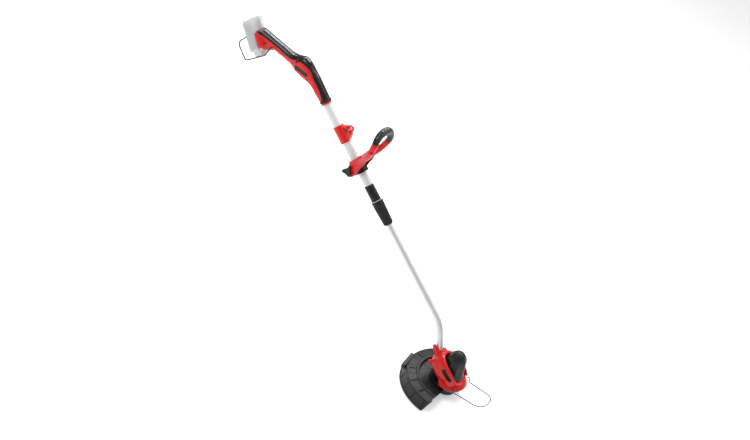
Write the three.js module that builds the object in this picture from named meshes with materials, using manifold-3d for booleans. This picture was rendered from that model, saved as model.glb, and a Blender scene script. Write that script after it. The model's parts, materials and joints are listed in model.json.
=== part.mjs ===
// A cordless string trimmer that also edges: a rear grip with a slide-on battery, a two-piece
// telescopic shaft with a bent lower end, a tilting loop handle, and a motor head with a line spool.
//
// Millimetres. The origin is on the spool axis at the underside of the spool cap, where the head
// touches the ground. +Z is up along the spool axis, +X points forward, away from the user,
// and +Y to the user's left.

import * as THREE from "three";
import { mergeVertices } from "three/addons/utils/BufferGeometryUtils.js";
import Module from "manifold-3d";

const wasm = await Module();
wasm.setup();

// ---------------------------------------------------------------- driving dimensions

const GAP = 0.3; // air between touching pieces
const FAR = 400; // half size of a cutting block

// Shaft. In the shaft's own frame z runs up the tube, x is its upper side and y is the user's left.
const SHAFT_LEAN = 55.8; // degrees that the straight tube leans back from upright
const TUBE_END_LEAN = 23.2; // degrees that the bent end leans back
const BEND_RADIUS = 145;
const BEND_TOP = [-153.9, 0, 257.8]; // where the straight tube starts to bend
const FIRST_STATION = 14; // straight tube between the bend and the origin of the shaft frame
const TUBE_END_LENGTH = 86; // straight run below the bend
const LOWER_TUBE = { outer: 12, inner: 10.6, top: 575 };
const UPPER_TUBE = { outer: 16, inner: 14.4, bottom: 452, top: 925 };

// Stations along the shaft
const SLEEVE = { bottom: 349, top: 443, topRadius: 22, bottomRadius: 17.8 };
const COLLAR = { bottom: 416, top: 508, radius: 18.4 };
const CLAMP = { bottom: 560, top: 624, radius: 27, halfWidth: 26.1 };
const LOOP_PIVOT = [-24, 588]; // x and z of the clamp bolt
const STRAP = { bottom: 682, top: 747, radius: 20, eye: [49, 719], eyeHole: 5 };
const HOUSING_FRONT = 835;
const WALL = 2.6;

// Rear grip: its frame starts at the front of the grip, z runs back along it and x is its upper side.
const GRIP_START = [-34, 0, 1026];
const GRIP_TILT = -30;

// Battery foot: its frame lies on the foot's plate, z runs up along the slide, x points into the foot.
const FOOT_CENTRE = [-124, 0, 1146];
const FOOT_TILT = 15;
const FOOT = { halfLength: 31, halfWidth: 37, depth: 34 };
const BATTERY = { back: -43, face: -3, top: 76, bottom: -36, lip: -60, halfWidth: 36 };
const CELL_RADIUS = 9.1;

// Head, about the spool axis
const GUARD = { outer: 182, shoulder: 166, step: 122, height: 42, web: 39.6, centre: [12, 0] };
const COVER = { radius: 74, bottom: 41, top: 77 };
const DOME = { radius: 48, shoulder: 80, neckRadius: 28, neck: 165, top: 181 };
const SPOOL_RADIUS = 46;
const WIRE_RADIUS = 1.6;
const GUIDE_PIVOT = [52, 66]; // x and z of the guard wire's hinge
const GUIDE_REACH = 177;

// ---------------------------------------------------------------- looks

const RED = { color: 0xd01a17, roughness: 0.35, metalness: 0 };
const BLACK = { color: 0x1c1d1f, roughness: 0.55, metalness: 0 };
const SOFT = { color: 0x232426, roughness: 0.8, metalness: 0 };
const WHITE = { color: 0xe6e6e4, roughness: 0.35, metalness: 0.1 };
const SILVER = { color: 0xc4c6c8, roughness: 0.3, metalness: 0.8 };
const STEEL = { color: 0x8d9094, roughness: 0.35, metalness: 0.9 };
const COPPER = { color: 0xb5713a, roughness: 0.4, metalness: 0.8 };
const PALE = { color: 0xd9dcdd, roughness: 0.5, metalness: 0 };
const BOARD = { color: 0x1f6b3a, roughness: 0.6, metalness: 0 };
const LINE = { color: 0xe8e4da, roughness: 0.5, metalness: 0 };

// ---------------------------------------------------------------- solids

const vec = (p) => new THREE.Vector3(...p);

function manifoldOf(position, triVerts) {
  return new wasm.Manifold(new wasm.Mesh({ numProp: 3, vertProperties: position, triVerts }));
}

// Turns a three.js geometry into a closed solid that faces outwards.
function solidOf(geometry) {
  const bare = geometry.clone();
  bare.deleteAttribute("normal");
  bare.deleteAttribute("uv");
  const merged = mergeVertices(bare, 1e-4);
  const corners = [];
  for (let i = 0; i < merged.index.count; i += 3) {
    const [a, b, c] = merged.index.array.slice(i, i + 3);
    if (a !== b && b !== c && c !== a) corners.push(a, b, c);
  }
  const position = merged.attributes.position.array;
  const solid = manifoldOf(position, new Uint32Array(corners));
  return solid.volume() < 0 ? manifoldOf(position, new Uint32Array(corners.reverse())) : solid;
}

const join = (...solids) => solids.reduce((whole, piece) => whole.add(piece));
const cut = (solid, ...tools) => tools.reduce((rest, tool) => rest.subtract(tool), solid);
const mirrored = (make) => [make(-1), make(1)];

function block(size, centre) {
  return solidOf(new THREE.BoxGeometry(...size).translate(...centre));
}

// A block given by its lowest and highest corners.
function blockBetween(low, high) {
  const size = low.map((v, i) => high[i] - v);
  const centre = low.map((v, i) => (high[i] + v) / 2);
  return block(size, centre);
}

// Everything on one side of the plane of symmetry, up to the far end of the shaft.
const rightHalf = blockBetween([-FAR, -FAR, 0], [FAR, -GAP / 2, 2000]);
const leftHalf = blockBetween([-FAR, GAP / 2, 0], [FAR, FAR, 2000]);

// A round bar between two points; a second radius makes it a cone.
function rod(radius, from, to, sides = 16, endRadius = radius) {
  const span = vec(to).sub(vec(from));
  const bar = new THREE.CylinderGeometry(endRadius, radius, span.length(), sides);
  const middle = vec(from).addScaledVector(span, 0.5);
  bar.applyQuaternion(
    new THREE.Quaternion().setFromUnitVectors(new THREE.Vector3(0, 1, 0), span.clone().normalize()),
  );
  return solidOf(bar.translate(middle.x, middle.y, middle.z));
}

// A solid of revolution about the z axis, from a profile of [radius, z] points.
function turned(profile, sides = 20) {
  const points = profile.map(([r, z]) => new THREE.Vector2(r, z));
  const open = profile[0][0] > 0 || profile.at(-1)[0] > 0;
  if (open) points.push(points[0].clone());
  return solidOf(new THREE.LatheGeometry(points, sides).rotateX(Math.PI / 2));
}

const ring = (outer, inner, z0, z1, sides) =>
  turned([[inner, z0], [outer, z0], [outer, z1], [inner, z1]], sides);

function shapeOf(outline) {
  if (outline instanceof THREE.Shape) return outline;
  return new THREE.Shape(outline.map(([x, y]) => new THREE.Vector2(x, y)));
}

// Extrudes an outline of the XY plane from z = 0 to the depth, with edges rounded inside the outline.
function extruded(outline, depth, round) {
  const geometry = new THREE.ExtrudeGeometry(shapeOf(outline), {
    depth: depth - 2 * round,
    curveSegments: 8,
    bevelEnabled: round > 0,
    bevelThickness: round,
    bevelSize: round,
    bevelOffset: -round,
    bevelSegments: 2,
  });
  return geometry.translate(0, 0, round);
}

// Extrudes an outline of [x, z] points across y.
function plate(outline, y0, y1, round = 0) {
  return solidOf(extruded(outline, y1 - y0, round).rotateX(Math.PI / 2).translate(0, y1, 0));
}

// A stadium: a bar with round ends between two points of a plane.
function capsule([x0, y0], [x1, y1], radius) {
  const along = Math.atan2(y1 - y0, x1 - x0);
  const shape = new THREE.Shape();
  shape.absarc(x1, y1, radius, along - Math.PI / 2, along + Math.PI / 2);
  shape.absarc(x0, y0, radius, along + Math.PI / 2, along + (3 * Math.PI) / 2);
  return shape;
}

// A path that is sampled exactly at its points, so that a straight run costs no extra rings.
class PointPath extends THREE.Curve {
  constructor(points) {
    super();
    this.points = points;
    this.last = points.length - 1;
  }
  getPoint(t, target = new THREE.Vector3()) {
    const i = Math.min(Math.floor(t * this.last + 1e-6), this.last - 1);
    return target.lerpVectors(this.points[i], this.points[i + 1], t * this.last - i);
  }
  getPointAt(u, target) {
    return this.getPoint(u, target);
  }
  direction(i) {
    const k = THREE.MathUtils.clamp(i, 0, this.last - 1);
    return this.points[k + 1].clone().sub(this.points[k]).normalize();
  }
  getTangentAt(u, target = new THREE.Vector3()) {
    const i = Math.round(u * this.last);
    return target.addVectors(this.direction(i - 1), this.direction(i)).normalize();
  }
}

// A round bar along a list of points.
function bar(points, radius, sides = 10) {
  const section = new THREE.Shape().absarc(0, 0, radius, 0, 2 * Math.PI);
  const extrudePath = new PointPath(points);
  const options = { steps: points.length - 1, curveSegments: sides, bevelEnabled: false, extrudePath };
  return solidOf(new THREE.ExtrudeGeometry(section, options));
}

const smooth = (points, count) =>
  new THREE.CatmullRomCurve3(points.map(vec), false, "centripetal").getSpacedPoints(count);

// A skin over superelliptic sections; u and v are each section's half axes.
function loft(stations, sides = 16) {
  const last = stations.length - 1;
  const geometry = new THREE.CylinderGeometry(1, 1, 1, sides, last);
  const position = geometry.attributes.position;
  for (let i = 0; i < position.count; i++) {
    const station = stations[Math.round((0.5 - position.getY(i)) * last)];
    const [c, s] = [position.getX(i), position.getZ(i)];
    const eased = (value) =>
      Math.abs(value) < 1e-6 ? 0 : Math.sign(value) * Math.abs(value) ** (2 / station.power);
    const point = vec(station.at)
      .addScaledVector(vec(station.u), eased(c))
      .addScaledVector(vec(station.v), eased(s));
    position.setXYZ(i, point.x, point.y, point.z);
  }
  return solidOf(geometry);
}

// A section square to a path in the XZ plane, tilted by the given degrees from facing along z.
function section(x, z, tilt, halfHeight, halfWidth, power = 2.6) {
  const a = THREE.MathUtils.degToRad(tilt);
  return {
    at: [x, 0, z],
    u: [halfHeight * Math.cos(a), 0, halfHeight * Math.sin(a)],
    v: [0, halfWidth, 0],
    power,
  };
}

// A compression spring along z, as a round wire on a helix.
function coil(radius, wire, z0, z1, turns, centre = [0, 0]) {
  const count = turns * 8;
  const points = Array.from({ length: count + 1 }, (_, i) => {
    const a = (i / count) * turns * 2 * Math.PI;
    return new THREE.Vector3(
      centre[0] + radius * Math.cos(a),
      centre[1] + radius * Math.sin(a),
      z0 + wire + ((z1 - z0 - 2 * wire) * i) / count,
    );
  });
  return bar(points, wire, 3);
}

// ---------------------------------------------------------------- scene graph

function frame(parent, at, tilt) {
  const group = new THREE.Group();
  group.position.set(...at);
  group.rotation.y = THREE.MathUtils.degToRad(tilt);
  parent.add(group);
  group.updateMatrix();
  return group;
}

// A point on the straight tube's axis, by its station in the shaft frame.
function onStraightTube(station) {
  const lean = THREE.MathUtils.degToRad(SHAFT_LEAN);
  const [x, , z] = BEND_TOP;
  const along = FIRST_STATION + station;
  return [x - along * Math.sin(lean), 0, z + along * Math.cos(lean)];
}

const trimmer = new THREE.Group();
const shaft = frame(trimmer, onStraightTube(0), -SHAFT_LEAN);
const grip = frame(shaft, GRIP_START, GRIP_TILT);
const foot = frame(shaft, FOOT_CENTRE, FOOT_TILT);

function add(parent, name, solid, look) {
  const geometry = geometryOf(solid);
  geometry.computeVertexNormals();
  const mesh = new THREE.Mesh(geometry, new THREE.MeshStandardMaterial(look));
  mesh.name = name;
  parent.add(mesh);
}

function geometryOf(solid) {
  const data = solid.getMesh();
  const geometry = new THREE.BufferGeometry();
  geometry.setAttribute("position", new THREE.BufferAttribute(data.vertProperties, 3));
  geometry.setIndex(new THREE.BufferAttribute(data.triVerts, 1));
  return geometry;
}

// Moves a solid from a child frame into its parent's frame.
const inParent = (group, solid) => solidOf(geometryOf(solid).applyMatrix4(group.matrix));

// ---------------------------------------------------------------- rear housing

const gripAxis = (distance) => {
  const a = THREE.MathUtils.degToRad(GRIP_TILT);
  return [GRIP_START[0] + distance * Math.sin(a), GRIP_START[2] + distance * Math.cos(a)];
};

// The housing's outside, or its inside when thinner is the wall's thickness.
function housingSkin(thinner) {
  const gripSection = (distance, halfHeight, halfWidth) =>
    section(...gripAxis(distance), -GRIP_TILT, halfHeight - thinner, halfWidth - thinner);
  const body = (x, z, tilt, halfHeight, halfWidth) =>
    section(x, z, tilt, halfHeight - thinner, halfWidth - thinner);
  const nose = [
    section(2.5, HOUSING_FRONT, 0, 19.7, 19.5, 2),
    section(2, 880, 0, 21.5, 20.5, 2.2),
  ];
  return loft([
    ...(thinner ? [] : nose),
    body(1.5, 928, 0, 24, 22),
    body(-5, 955, 4, 29, 24),
    body(-12, 985, 8, 36, 25),
    body(-18, 1006, 16, 35, 25),
    body(-31, 1022, 26, 24, 23),
    gripSection(12, 18.5, 21.5),
    gripSection(60, 18, 21),
    gripSection(110, 19, 22),
    gripSection(thinner ? 142 : 175, 21, 24),
  ]);
}

// The foot's outside flares from the grip to the battery plate; across is its half size along the slide.
function footSkin(thinner) {
  const across = (x, z, halfLength, halfWidth, power) => ({
    at: [x, 0, z],
    u: [0, 0, halfLength - thinner],
    v: [0, halfWidth - thinner, 0],
    power,
  });
  return loft([
    across(thinner ? 3 : 0, 0, FOOT.halfLength, FOOT.halfWidth, 6),
    across(10, -1, FOOT.halfLength - 1, FOOT.halfWidth - 2, 5),
    across(22, -6, 22, 27, 4),
    across(FOOT.depth, -10, 13, 17, 3),
  ]);
}

// The line on the side where the upper cover meets the red shells, front to back, as x and z.
const SEAM = [
  [12, HOUSING_FRONT - 5], [14, 930], [18, 965], [9, 996],
  [-7, 1018], [-30, 1032], [-101, 1155], [-140, 1222],
];
const aboveSeam = (drop) =>
  plate([...SEAM.map(([x, z]) => [x - drop, z]), [120, 1222], [120, HOUSING_FRONT - 5]], -60, 60);

function housing() {
  const outside = join(housingSkin(0), inParent(foot, footSkin(0)));
  const inside = join(
    housingSkin(WALL),
    inParent(foot, footSkin(WALL)),
    rod(UPPER_TUBE.outer + GAP, [0, 0, HOUSING_FRONT - 1], [0, 0, 930], 24),
  );
  const behindPlate = inParent(foot, blockBetween([-FAR, -FAR, -FAR], [0, FAR, FAR]));
  const endSlope = [[-95, 1168], [-125, 1183], [-125, 1300], [-20, 1300], [-20, 1213]];
  return cut(outside, inside, behindPlate, plate(endSlope, -60, 60), ...housingOpenings());
}

function housingOpenings() {
  const terminalWindow = inParent(foot, block([12, 32, 50], [3, 0, 0]));
  const triggerSlot = inParent(grip, blockBetween([-40, -8.6, -2], [-8, 8.6, 76]));
  const lockHole = rod(6.4, [-10, -40, 1018], [-10, -8, 1018], 20);
  const speedHole = rod(5.4, [5, 0, 984], [60, 0, 990], 20);
  const wireHoles = inParent(foot, rod(3.4, [46, -30, -34.6], [46, 30, -34.6], 10));
  const pinHole = inParent(grip, rod(2 + GAP, [-12, -30, 9], [-12, 30, 9], 12));
  return [terminalWindow, triggerSlot, lockHole, speedHole, wireHoles, pinHole];
}

// Screws through the right shell, as x and z in the shaft frame
const HOUSING_SCREWS = [[-14, 943], [-38, 992], [-104, 1124]];

function housingScrew([x, z], headY) {
  return join(
    rod(3.4, [x, headY, z], [x, headY + 2.6, z], 12),
    rod(1.6, [x, headY + 2, z], [x, headY + 9, z], 8),
  );
}

function badge(side, from, to, radius, y0, y1) {
  const [low, high] = side < 0 ? [-y1, -y0] : [y0, y1];
  return plate(capsule(from, to, radius), low, high);
}

const BADGE = { from: [-24, 994], to: [-6, 966], radius: 5.2, y0: 22.6, y1: 25.6 };
const SCREW_HEAD_Y = [-20.4, -24.4, -34.5];

function addHousing() {
  const shell = housing();
  const lower = cut(shell, aboveSeam(GAP));
  const cover = shell.intersect(aboveSeam(0));
  const gripBack = inParent(grip, blockBetween([-FAR, -FAR, 8], [FAR, FAR, FAR]));
  const gripFront = inParent(grip, blockBetween([-FAR, -FAR, -FAR], [FAR, FAR, 8 - GAP]));
  const badgePockets = mirrored((side) =>
    badge(side, BADGE.from, BADGE.to, BADGE.radius + GAP, BADGE.y0 - GAP, 40));
  const screwHoles = HOUSING_SCREWS.map(([x, z], i) =>
    rod(3.4 + GAP, [x, -60, z], [x, SCREW_HEAD_Y[i] + 2.6 + GAP, z], 12));
  const shankHoles = HOUSING_SCREWS.map(([x, z]) => rod(1.6 + GAP, [x, -60, z], [x, 0, z], 8));
  const rightShell = cut(lower.intersect(rightHalf), ...badgePockets, ...screwHoles, ...shankHoles);
  add(shaft, "housing_right", rightShell, RED);
  add(shaft, "housing_left", cut(lower.intersect(leftHalf), ...badgePockets), RED);
  add(shaft, "top_cover", cut(cover.intersect(gripFront), ...badgePockets), BLACK);
  add(shaft, "grip_cover", cover.intersect(gripBack), SOFT);
  ["left", "right"].forEach((name, i) => {
    const plaque = badge(i ? -1 : 1, BADGE.from, BADGE.to, BADGE.radius, BADGE.y0, BADGE.y1);
    add(shaft, `housing_badge_${name}`, plaque, BLACK);
  });
  HOUSING_SCREWS.forEach((place, i) => {
    add(shaft, `housing_screw_${i + 1}`, housingScrew(place, SCREW_HEAD_Y[i]), STEEL);
  });
  const band = rod(22.4, [2.4, 0, 841], [2.4, 0, 850], 24);
  add(shaft, "front_band", cut(band, rod(21, [2.4, 0, 830], [2.4, 0, 860], 24)), BLACK);
}

// ---------------------------------------------------------------- controls inside the housing

function addControls() {
  const lever = [[-9, 4], [-9, 70], [-15, 73], [-23, 66], [-24, 30], [-21, 12], [-14, 3]];
  const leverPin = rod(2 + GAP, [-12, -20, 9], [-12, 20, 9], 12);
  add(grip, "trigger", cut(plate(lever, -8, 8, 1.5), leverPin), RED);
  add(grip, "trigger_pin", rod(2, [-12, -16, 9], [-12, 16, 9], 12), STEEL);
  add(grip, "main_switch", blockBetween([-4.5, -8, 22], [9, 8, 54]), BLACK);
  const spring = geometryOf(coil(3.4, 0.6, -8.6, 2, 3)).rotateY(Math.PI / 2).translate(0, 0, 63);
  add(grip, "trigger_spring", solidOf(spring), STEEL);

  const button = join(
    rod(6, [-10, -26, 1018], [-10, -12.5, 1018], 16),
    rod(6.8, [-10, -13, 1018], [-10, -10, 1018], 16),
  );
  add(shaft, "lock_button", button, BLACK);
  const speed = join(
    rod(5, [8, 0, 984.5], [27, 0, 986.8], 20),
    rod(7, [6, 0, 984.2], [9, 0, 984.6], 20),
  );
  add(shaft, "speed_button", speed, BLACK);
  add(shaft, "control_board", block([1.6, 30, 52], [-6, 0, 962]), BOARD);
  const leadRoute = [[3, 0, 800], [3, 0, 900], [2, 0, 930], [0, 0, 955], [-2, 0, 975]];
  add(shaft, "power_lead", bar(smooth(leadRoute, 10), 2.2, 4), BLACK);
}

// ---------------------------------------------------------------- battery and its foot

function addBattery() {
  const { back, face, top, bottom, lip, halfWidth } = BATTERY;
  const railSlot = blockBetween([-13, -17, -26], [0, 17, 26]);
  const railWay = blockBetween([-9.4, -17, -26], [0, 17, 100]);
  const latchPocket = blockBetween([-20.3, -12.3, -70], [-9.7, 12.3, -48]);
  const outline = [
    [face, top], [back, top], [back, bottom], [-27, bottom - 5],
    [-27, lip + 6], [-21, lip], [-9, lip], [face, lip + 6],
  ];
  const skin = plate(outline, -halfWidth, halfWidth, 3);
  const cellRoom = blockBetween([-40, -33.3, -32], [-12.5, 33.3, 72]);
  add(foot, "battery_case", cut(skin, cellRoom, railSlot, railWay, latchPocket), PALE);
  const cellRow = [0, 1, 2, 3, 4].map((i) => -21 + 18 * i);
  const cells = cellRow.map((z) => rod(CELL_RADIUS, [-27, -32.5, z], [-27, 32.5, z], 12));
  add(foot, "battery_cells", join(...cells), STEEL);
  add(foot, "battery_latch", blockBetween([-20, -12, -64], [-10, 12, -54]), BLACK);

  const terminal = join(
    blockBetween([-8, -14, -22], [-0.5, 14, 22]),
    blockBetween([-1, -15.7, -24.7], [9, 15.7, 24.7]),
  );
  const bladeSlots = [-9, 9].map((y) => blockBetween([-20, y - 0.7, -18], [20, y + 0.7, 12]));
  add(foot, "terminal_block", cut(terminal, ...bladeSlots), BLACK);
  ["left", "right"].forEach((name, i) => {
    const y = i ? -9 : 9;
    add(foot, `terminal_blade_${name}`, blockBetween([-7, y - 0.4, -17], [12, y + 0.4, 11]), COPPER);
  });
  addBumper();
}

// A bent wire around the battery, held in the grip's underside.
function addBumper() {
  const side = (s) => [
    [46, 8 * s, -34],
    [46, 38 * s, -36],
    [43, 44 * s, -40],
    [30, 45 * s, -53],
    [3, 45 * s, -56],
    [-60, 45 * s, -62],
    [-67, 45 * s, -58],
    [-75, 45 * s, -5],
    [-72, 43 * s, 6],
    [-66, 36 * s, 12],
  ];
  const points = [...side(-1), ...side(1).reverse()].map(vec);
  add(foot, "battery_bumper", bar(points, 2.1, 4), STEEL);
}

// ---------------------------------------------------------------- upper shaft fittings

function addUpperShaft() {
  const { outer, inner, bottom, top } = UPPER_TUBE;
  add(shaft, "upper_tube", ring(outer, inner, bottom, top, 24), WHITE);
  addStrapBracket();
  addTelescope();
}

function addStrapBracket() {
  const { bottom, top, radius, eye, eyeHole } = STRAP;
  const [ex, ez] = eye;
  const fin = new THREE.Shape();
  fin.moveTo(0, bottom);
  fin.lineTo(ex - 2, ez - 10);
  fin.absarc(ex, ez, 10, -Math.PI / 2, Math.PI / 2);
  fin.lineTo(0, top);
  const bracket = join(ring(radius, outerOf(UPPER_TUBE), bottom, top, 24), plate(fin, -9, 9, 2));
  const holes = [
    rod(outerOf(UPPER_TUBE), [0, 0, bottom - 9], [0, 0, top + 9], 24),
    rod(eyeHole, [ex, -20, ez], [ex, 20, ez], 20),
    rod(2 + GAP, [26, -20, ez], [26, 20, ez], 12),
    rod(5 + GAP, [26, -20, ez], [26, -5, ez], 16),
  ];
  const whole = cut(bracket, ...holes);
  add(shaft, "strap_bracket_right", whole.intersect(rightHalf), RED);
  add(shaft, "strap_bracket_left", whole.intersect(leftHalf), RED);
  const screw = join(
    rod(5, [26, -8.4, ez], [26, -5 - GAP, ez], 16),
    rod(2, [26, -6, ez], [26, 8, ez], 10),
  );
  add(shaft, "strap_screw", screw, STEEL);
}

function outerOf(tube) {
  return tube.outer + GAP;
}

// Collar on the upper tube, collet, and the twist sleeve that squeezes it on the lower tube.
function addTelescope() {
  const way = LOWER_TUBE.outer + GAP;
  const collar = turned([
    [way + 0.4, COLLAR.bottom],
    [16.6, COLLAR.bottom],
    [16.6, SLEEVE.top + GAP],
    [COLLAR.radius, SLEEVE.top + GAP],
    [COLLAR.radius - 0.6, COLLAR.top],
    [outerOf(UPPER_TUBE), COLLAR.top],
    [outerOf(UPPER_TUBE), UPPER_TUBE.bottom - GAP],
    [way + 0.4, UPPER_TUBE.bottom - GAP],
  ]);
  add(shaft, "telescope_collar", collar, BLACK);
  const slit = blockBetween([0, -0.8, 0], [FAR, 0.8, 1000]);
  const colletTop = COLLAR.bottom - GAP;
  const collet = turned([[way, 384], [14.2, 384], [16, 396], [16, colletTop], [way, colletTop]]);
  add(shaft, "collet", cut(collet, slit), PALE);
  const sleeve = turned([
    [way + 0.2, SLEEVE.bottom],
    [SLEEVE.bottomRadius - 2.5, SLEEVE.bottom],
    [SLEEVE.bottomRadius, SLEEVE.bottom + 6],
    [20.2, 400],
    [SLEEVE.topRadius, SLEEVE.top - 6],
    [SLEEVE.topRadius - 1, SLEEVE.top],
    [17, SLEEVE.top],
    [17, 396],
    [14.6, 380],
    [way + 0.2, 380],
  ]);
  add(shaft, "lock_sleeve", sleeve, BLACK);
}

// ---------------------------------------------------------------- loop handle

function addLoopHandle() {
  const [px, pz] = LOOP_PIVOT;
  const { bottom, top, radius, halfWidth } = CLAMP;
  const bore = rod(outerOf(UPPER_TUBE), [0, 0, bottom - 9], [0, 0, top + 9], 24);
  const barrel = rod(radius, [0, 0, bottom], [0, 0, top], 24);
  const around = barrel.intersect(blockBetween([-FAR, -halfWidth, 0], [FAR, halfWidth, 1000]));
  const boltWay = rod(3 + GAP, [px, -60, pz], [px, 60, pz], 12);
  const lug = plate([[-37, 574], [-37, 600], [-30, 608], [-12, 614], [-12, 568]], -24, 24, 2);
  const front = around.intersect(blockBetween([0.4, -FAR, 0], [FAR, FAR, 1000]));
  const rear = join(around.intersect(blockBetween([-FAR, -FAR, 0], [-0.4, FAR, 1000])), lug);
  add(shaft, "clamp_front", cut(front, bore), BLACK);
  add(shaft, "clamp_rear", cut(rear, bore, boltWay), RED);

  const cheek = [
    [-37, 583], [-35, 599], [20, 613], [62, 616], [66, 603], [56, 590], [20, 585], [-19, 573], [-33, 574],
  ];
  const cheeks = mirrored((side) => plate(cheek, 30 * side - 3.5, 30 * side + 3.5, 2));
  const web = plate([[40, 591], [40, 611], [60, 612], [66, 602], [58, 591]], -29, 29, 2);
  const armRoute = (side) => [
    [30, 30 * side, 599],
    [66, 38 * side, 604],
    [102, 51 * side, 612],
    [127, 56 * side, 619.5],
  ];
  const arms = mirrored((side) => bar(smooth(armRoute(side), 5), 11.5, 6));
  const nutRoom = rod(7, [px, 30, pz], [px, 60, pz], 6);
  const gripSpace = blockBetween([16, -26.4, 560], [39.9, 26.4, 640]);
  add(shaft, "loop_frame", cut(join(...cheeks, web, ...arms), boltWay, nutRoom, gripSpace), RED);

  const half = (side) => [
    [131.5, 57 * side, 621.5],
    [148, 54.5 * side, 632],
    [164, 42 * side, 648],
    [171.5, 21 * side, 656.5],
  ];
  const gripRoute = [...half(-1), [173, 0, 658.5], ...half(1).reverse()];
  add(shaft, "loop_grip", bar(smooth(gripRoute, 14), 13, 7), SOFT);

  const hexNut = rod(6.6, [px, 30.4, pz], [px, 35.4, pz], 6);
  const nutHole = rod(3 + GAP, [px, 20, pz], [px, 50, pz], 12);
  add(shaft, "clamp_nut", cut(hexNut, nutHole), STEEL);
  addStarKnob(px, pz);
}

function addStarKnob(px, pz) {
  const lobes = [0, 1, 2].map((i) => {
    const a = (i * 2 * Math.PI) / 3 + 0.5;
    const [x, z] = [px + 13.5 * Math.cos(a), pz + 13.5 * Math.sin(a)];
    return rod(7.2, [x, -47, z], [x, -35.5, z], 12);
  });
  const hub = rod(13, [px, -47, pz], [px, -34, pz], 20);
  const boltRoom = rod(3 + GAP, [px, -44, pz], [px, -30, pz], 12);
  add(shaft, "star_knob", cut(join(hub, ...lobes), boltRoom), BLACK);
  add(shaft, "clamp_bolt", rod(3, [px, -43.6, pz], [px, 38, pz], 12), STEEL);
}

// ---------------------------------------------------------------- lower tube

const [bendX, , bendZ] = BEND_TOP;
const [lean, endLean] = [SHAFT_LEAN, TUBE_END_LEAN].map(THREE.MathUtils.degToRad);

// The point of the bend's arc where the tube leans back by the angle a.
function inBend(a) {
  const x = bendX + BEND_RADIUS * (Math.cos(a) - Math.cos(lean));
  const z = bendZ - BEND_RADIUS * (Math.sin(lean) - Math.sin(a));
  return new THREE.Vector3(x, 0, z);
}

// Centre line of the lower tube from its top end to the head, longer at both ends by extra.
function lowerTubePath(extra) {
  const steps = 6;
  const points = [vec(onStraightTube(LOWER_TUBE.top + extra))];
  for (let i = 0; i <= steps; i++) {
    const a = lean + ((endLean - lean) * i) / steps;
    points.push(inBend(a));
  }
  points.push(tubeEnd(-TUBE_END_LENGTH - extra));
  return points;
}

// A point on the bent end's axis, measured along it from the end of the bend, upwards positive.
function tubeEnd(distance) {
  const axis = new THREE.Vector3(-Math.sin(endLean), 0, Math.cos(endLean));
  return inBend(endLean).addScaledVector(axis, distance);
}

function addLowerTube() {
  const tube = cut(bar(lowerTubePath(0), LOWER_TUBE.outer, 9), bar(lowerTubePath(2), LOWER_TUBE.inner, 9));
  add(trimmer, "lower_tube", tube, SILVER);
  add(shaft, "guide_bush", ring(UPPER_TUBE.inner - GAP, LOWER_TUBE.outer + GAP, 540, 572, 24), PALE);
  const lead = lowerTubePath(-12);
  add(trimmer, "motor_lead", bar(lead, 3, 4), BLACK);
}

// ---------------------------------------------------------------- motor head

function addHead() {
  addYoke();
  addCovers();
  addMotor();
  addGuard();
  addSpool();
  addFlowerGuard();
}

// Side arm of the yoke, from the collar down and forward along the dome to the ring.
function yokeArm(side) {
  const station = (x, y, z, height, width, turn) => {
    const a = THREE.MathUtils.degToRad(turn);
    return {
      at: [x, y * side, z],
      u: [height * Math.sin(0.5), 0, height * Math.cos(0.5)],
      v: [width * Math.sin(a) * -1, width * Math.cos(a) * side, 0],
      power: 4,
    };
  };
  return loft([
    station(-66, 6, 118, 20, 12, 60),
    station(-52, 36, 112, 20, 7, 45),
    station(-26, 53, 99, 18, 5, 20),
    station(8, 60, 83, 17, 5, -8),
    station(40, 53, 67, 12, 5, -34),
  ]);
}

function addYoke() {
  const top = tubeEnd(-62);
  const low = tubeEnd(-108);
  const collar = rod(20, low.toArray(), top.toArray(), 24);
  const socketEnd = tubeEnd(-TUBE_END_LENGTH - 1).toArray();
  const socket = rod(outerOf(LOWER_TUBE) + 0.1, socketEnd, tubeEnd(-20).toArray(), 24);
  const ears = mirrored((side) => rod(7, [-60, 30 * side, 104], [-84, 40 * side, 92], 12, 2));
  const leadWay = rod(6, tubeEnd(-130).toArray(), tubeEnd(-80).toArray(), 12);
  const dome = turned([[0, 20], [75, 20], ...coverOutline(0.8), ...domeOutline(1.8)], 24);
  const yoke = cut(join(collar, ...mirrored(yokeArm), ...ears), socket, leadWay, dome);
  const badges = mirrored((side) => headBadge(side, GAP));
  add(trimmer, "yoke", cut(yoke, ...badges), RED);
  ["left", "right"].forEach((name, i) => {
    add(trimmer, `head_badge_${name}`, headBadge(i ? -1 : 1, 0), BLACK);
  });
}

const headBadge = (side, grow) => badge(side, [-4, 91], [24, 76], 4.5 + grow, 61.5 - grow, 64);

// The outside of the ring cover, from its rim in to the dome, moved outwards by grow.
function coverOutline(grow) {
  const { radius, top } = COVER;
  return [[radius + 0.5, 50], [radius - 2, 62], [radius - 12, 72], [DOME.radius + 3, top]]
    .map(([r, z]) => [r + grow * 0.7, z + grow * 0.7]);
}

// The outside of the motor's dome from its shoulder up, moved outwards by grow.
function domeOutline(grow) {
  const { radius, shoulder, neckRadius, neck, top } = DOME;
  return [
    [radius + grow, shoulder],
    [neckRadius + grow, neck + grow],
    [neckRadius - 8 + grow, top - 6 + grow],
    [neckRadius - 18, top - 1 + grow],
    [0, top + grow],
  ];
}

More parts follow.
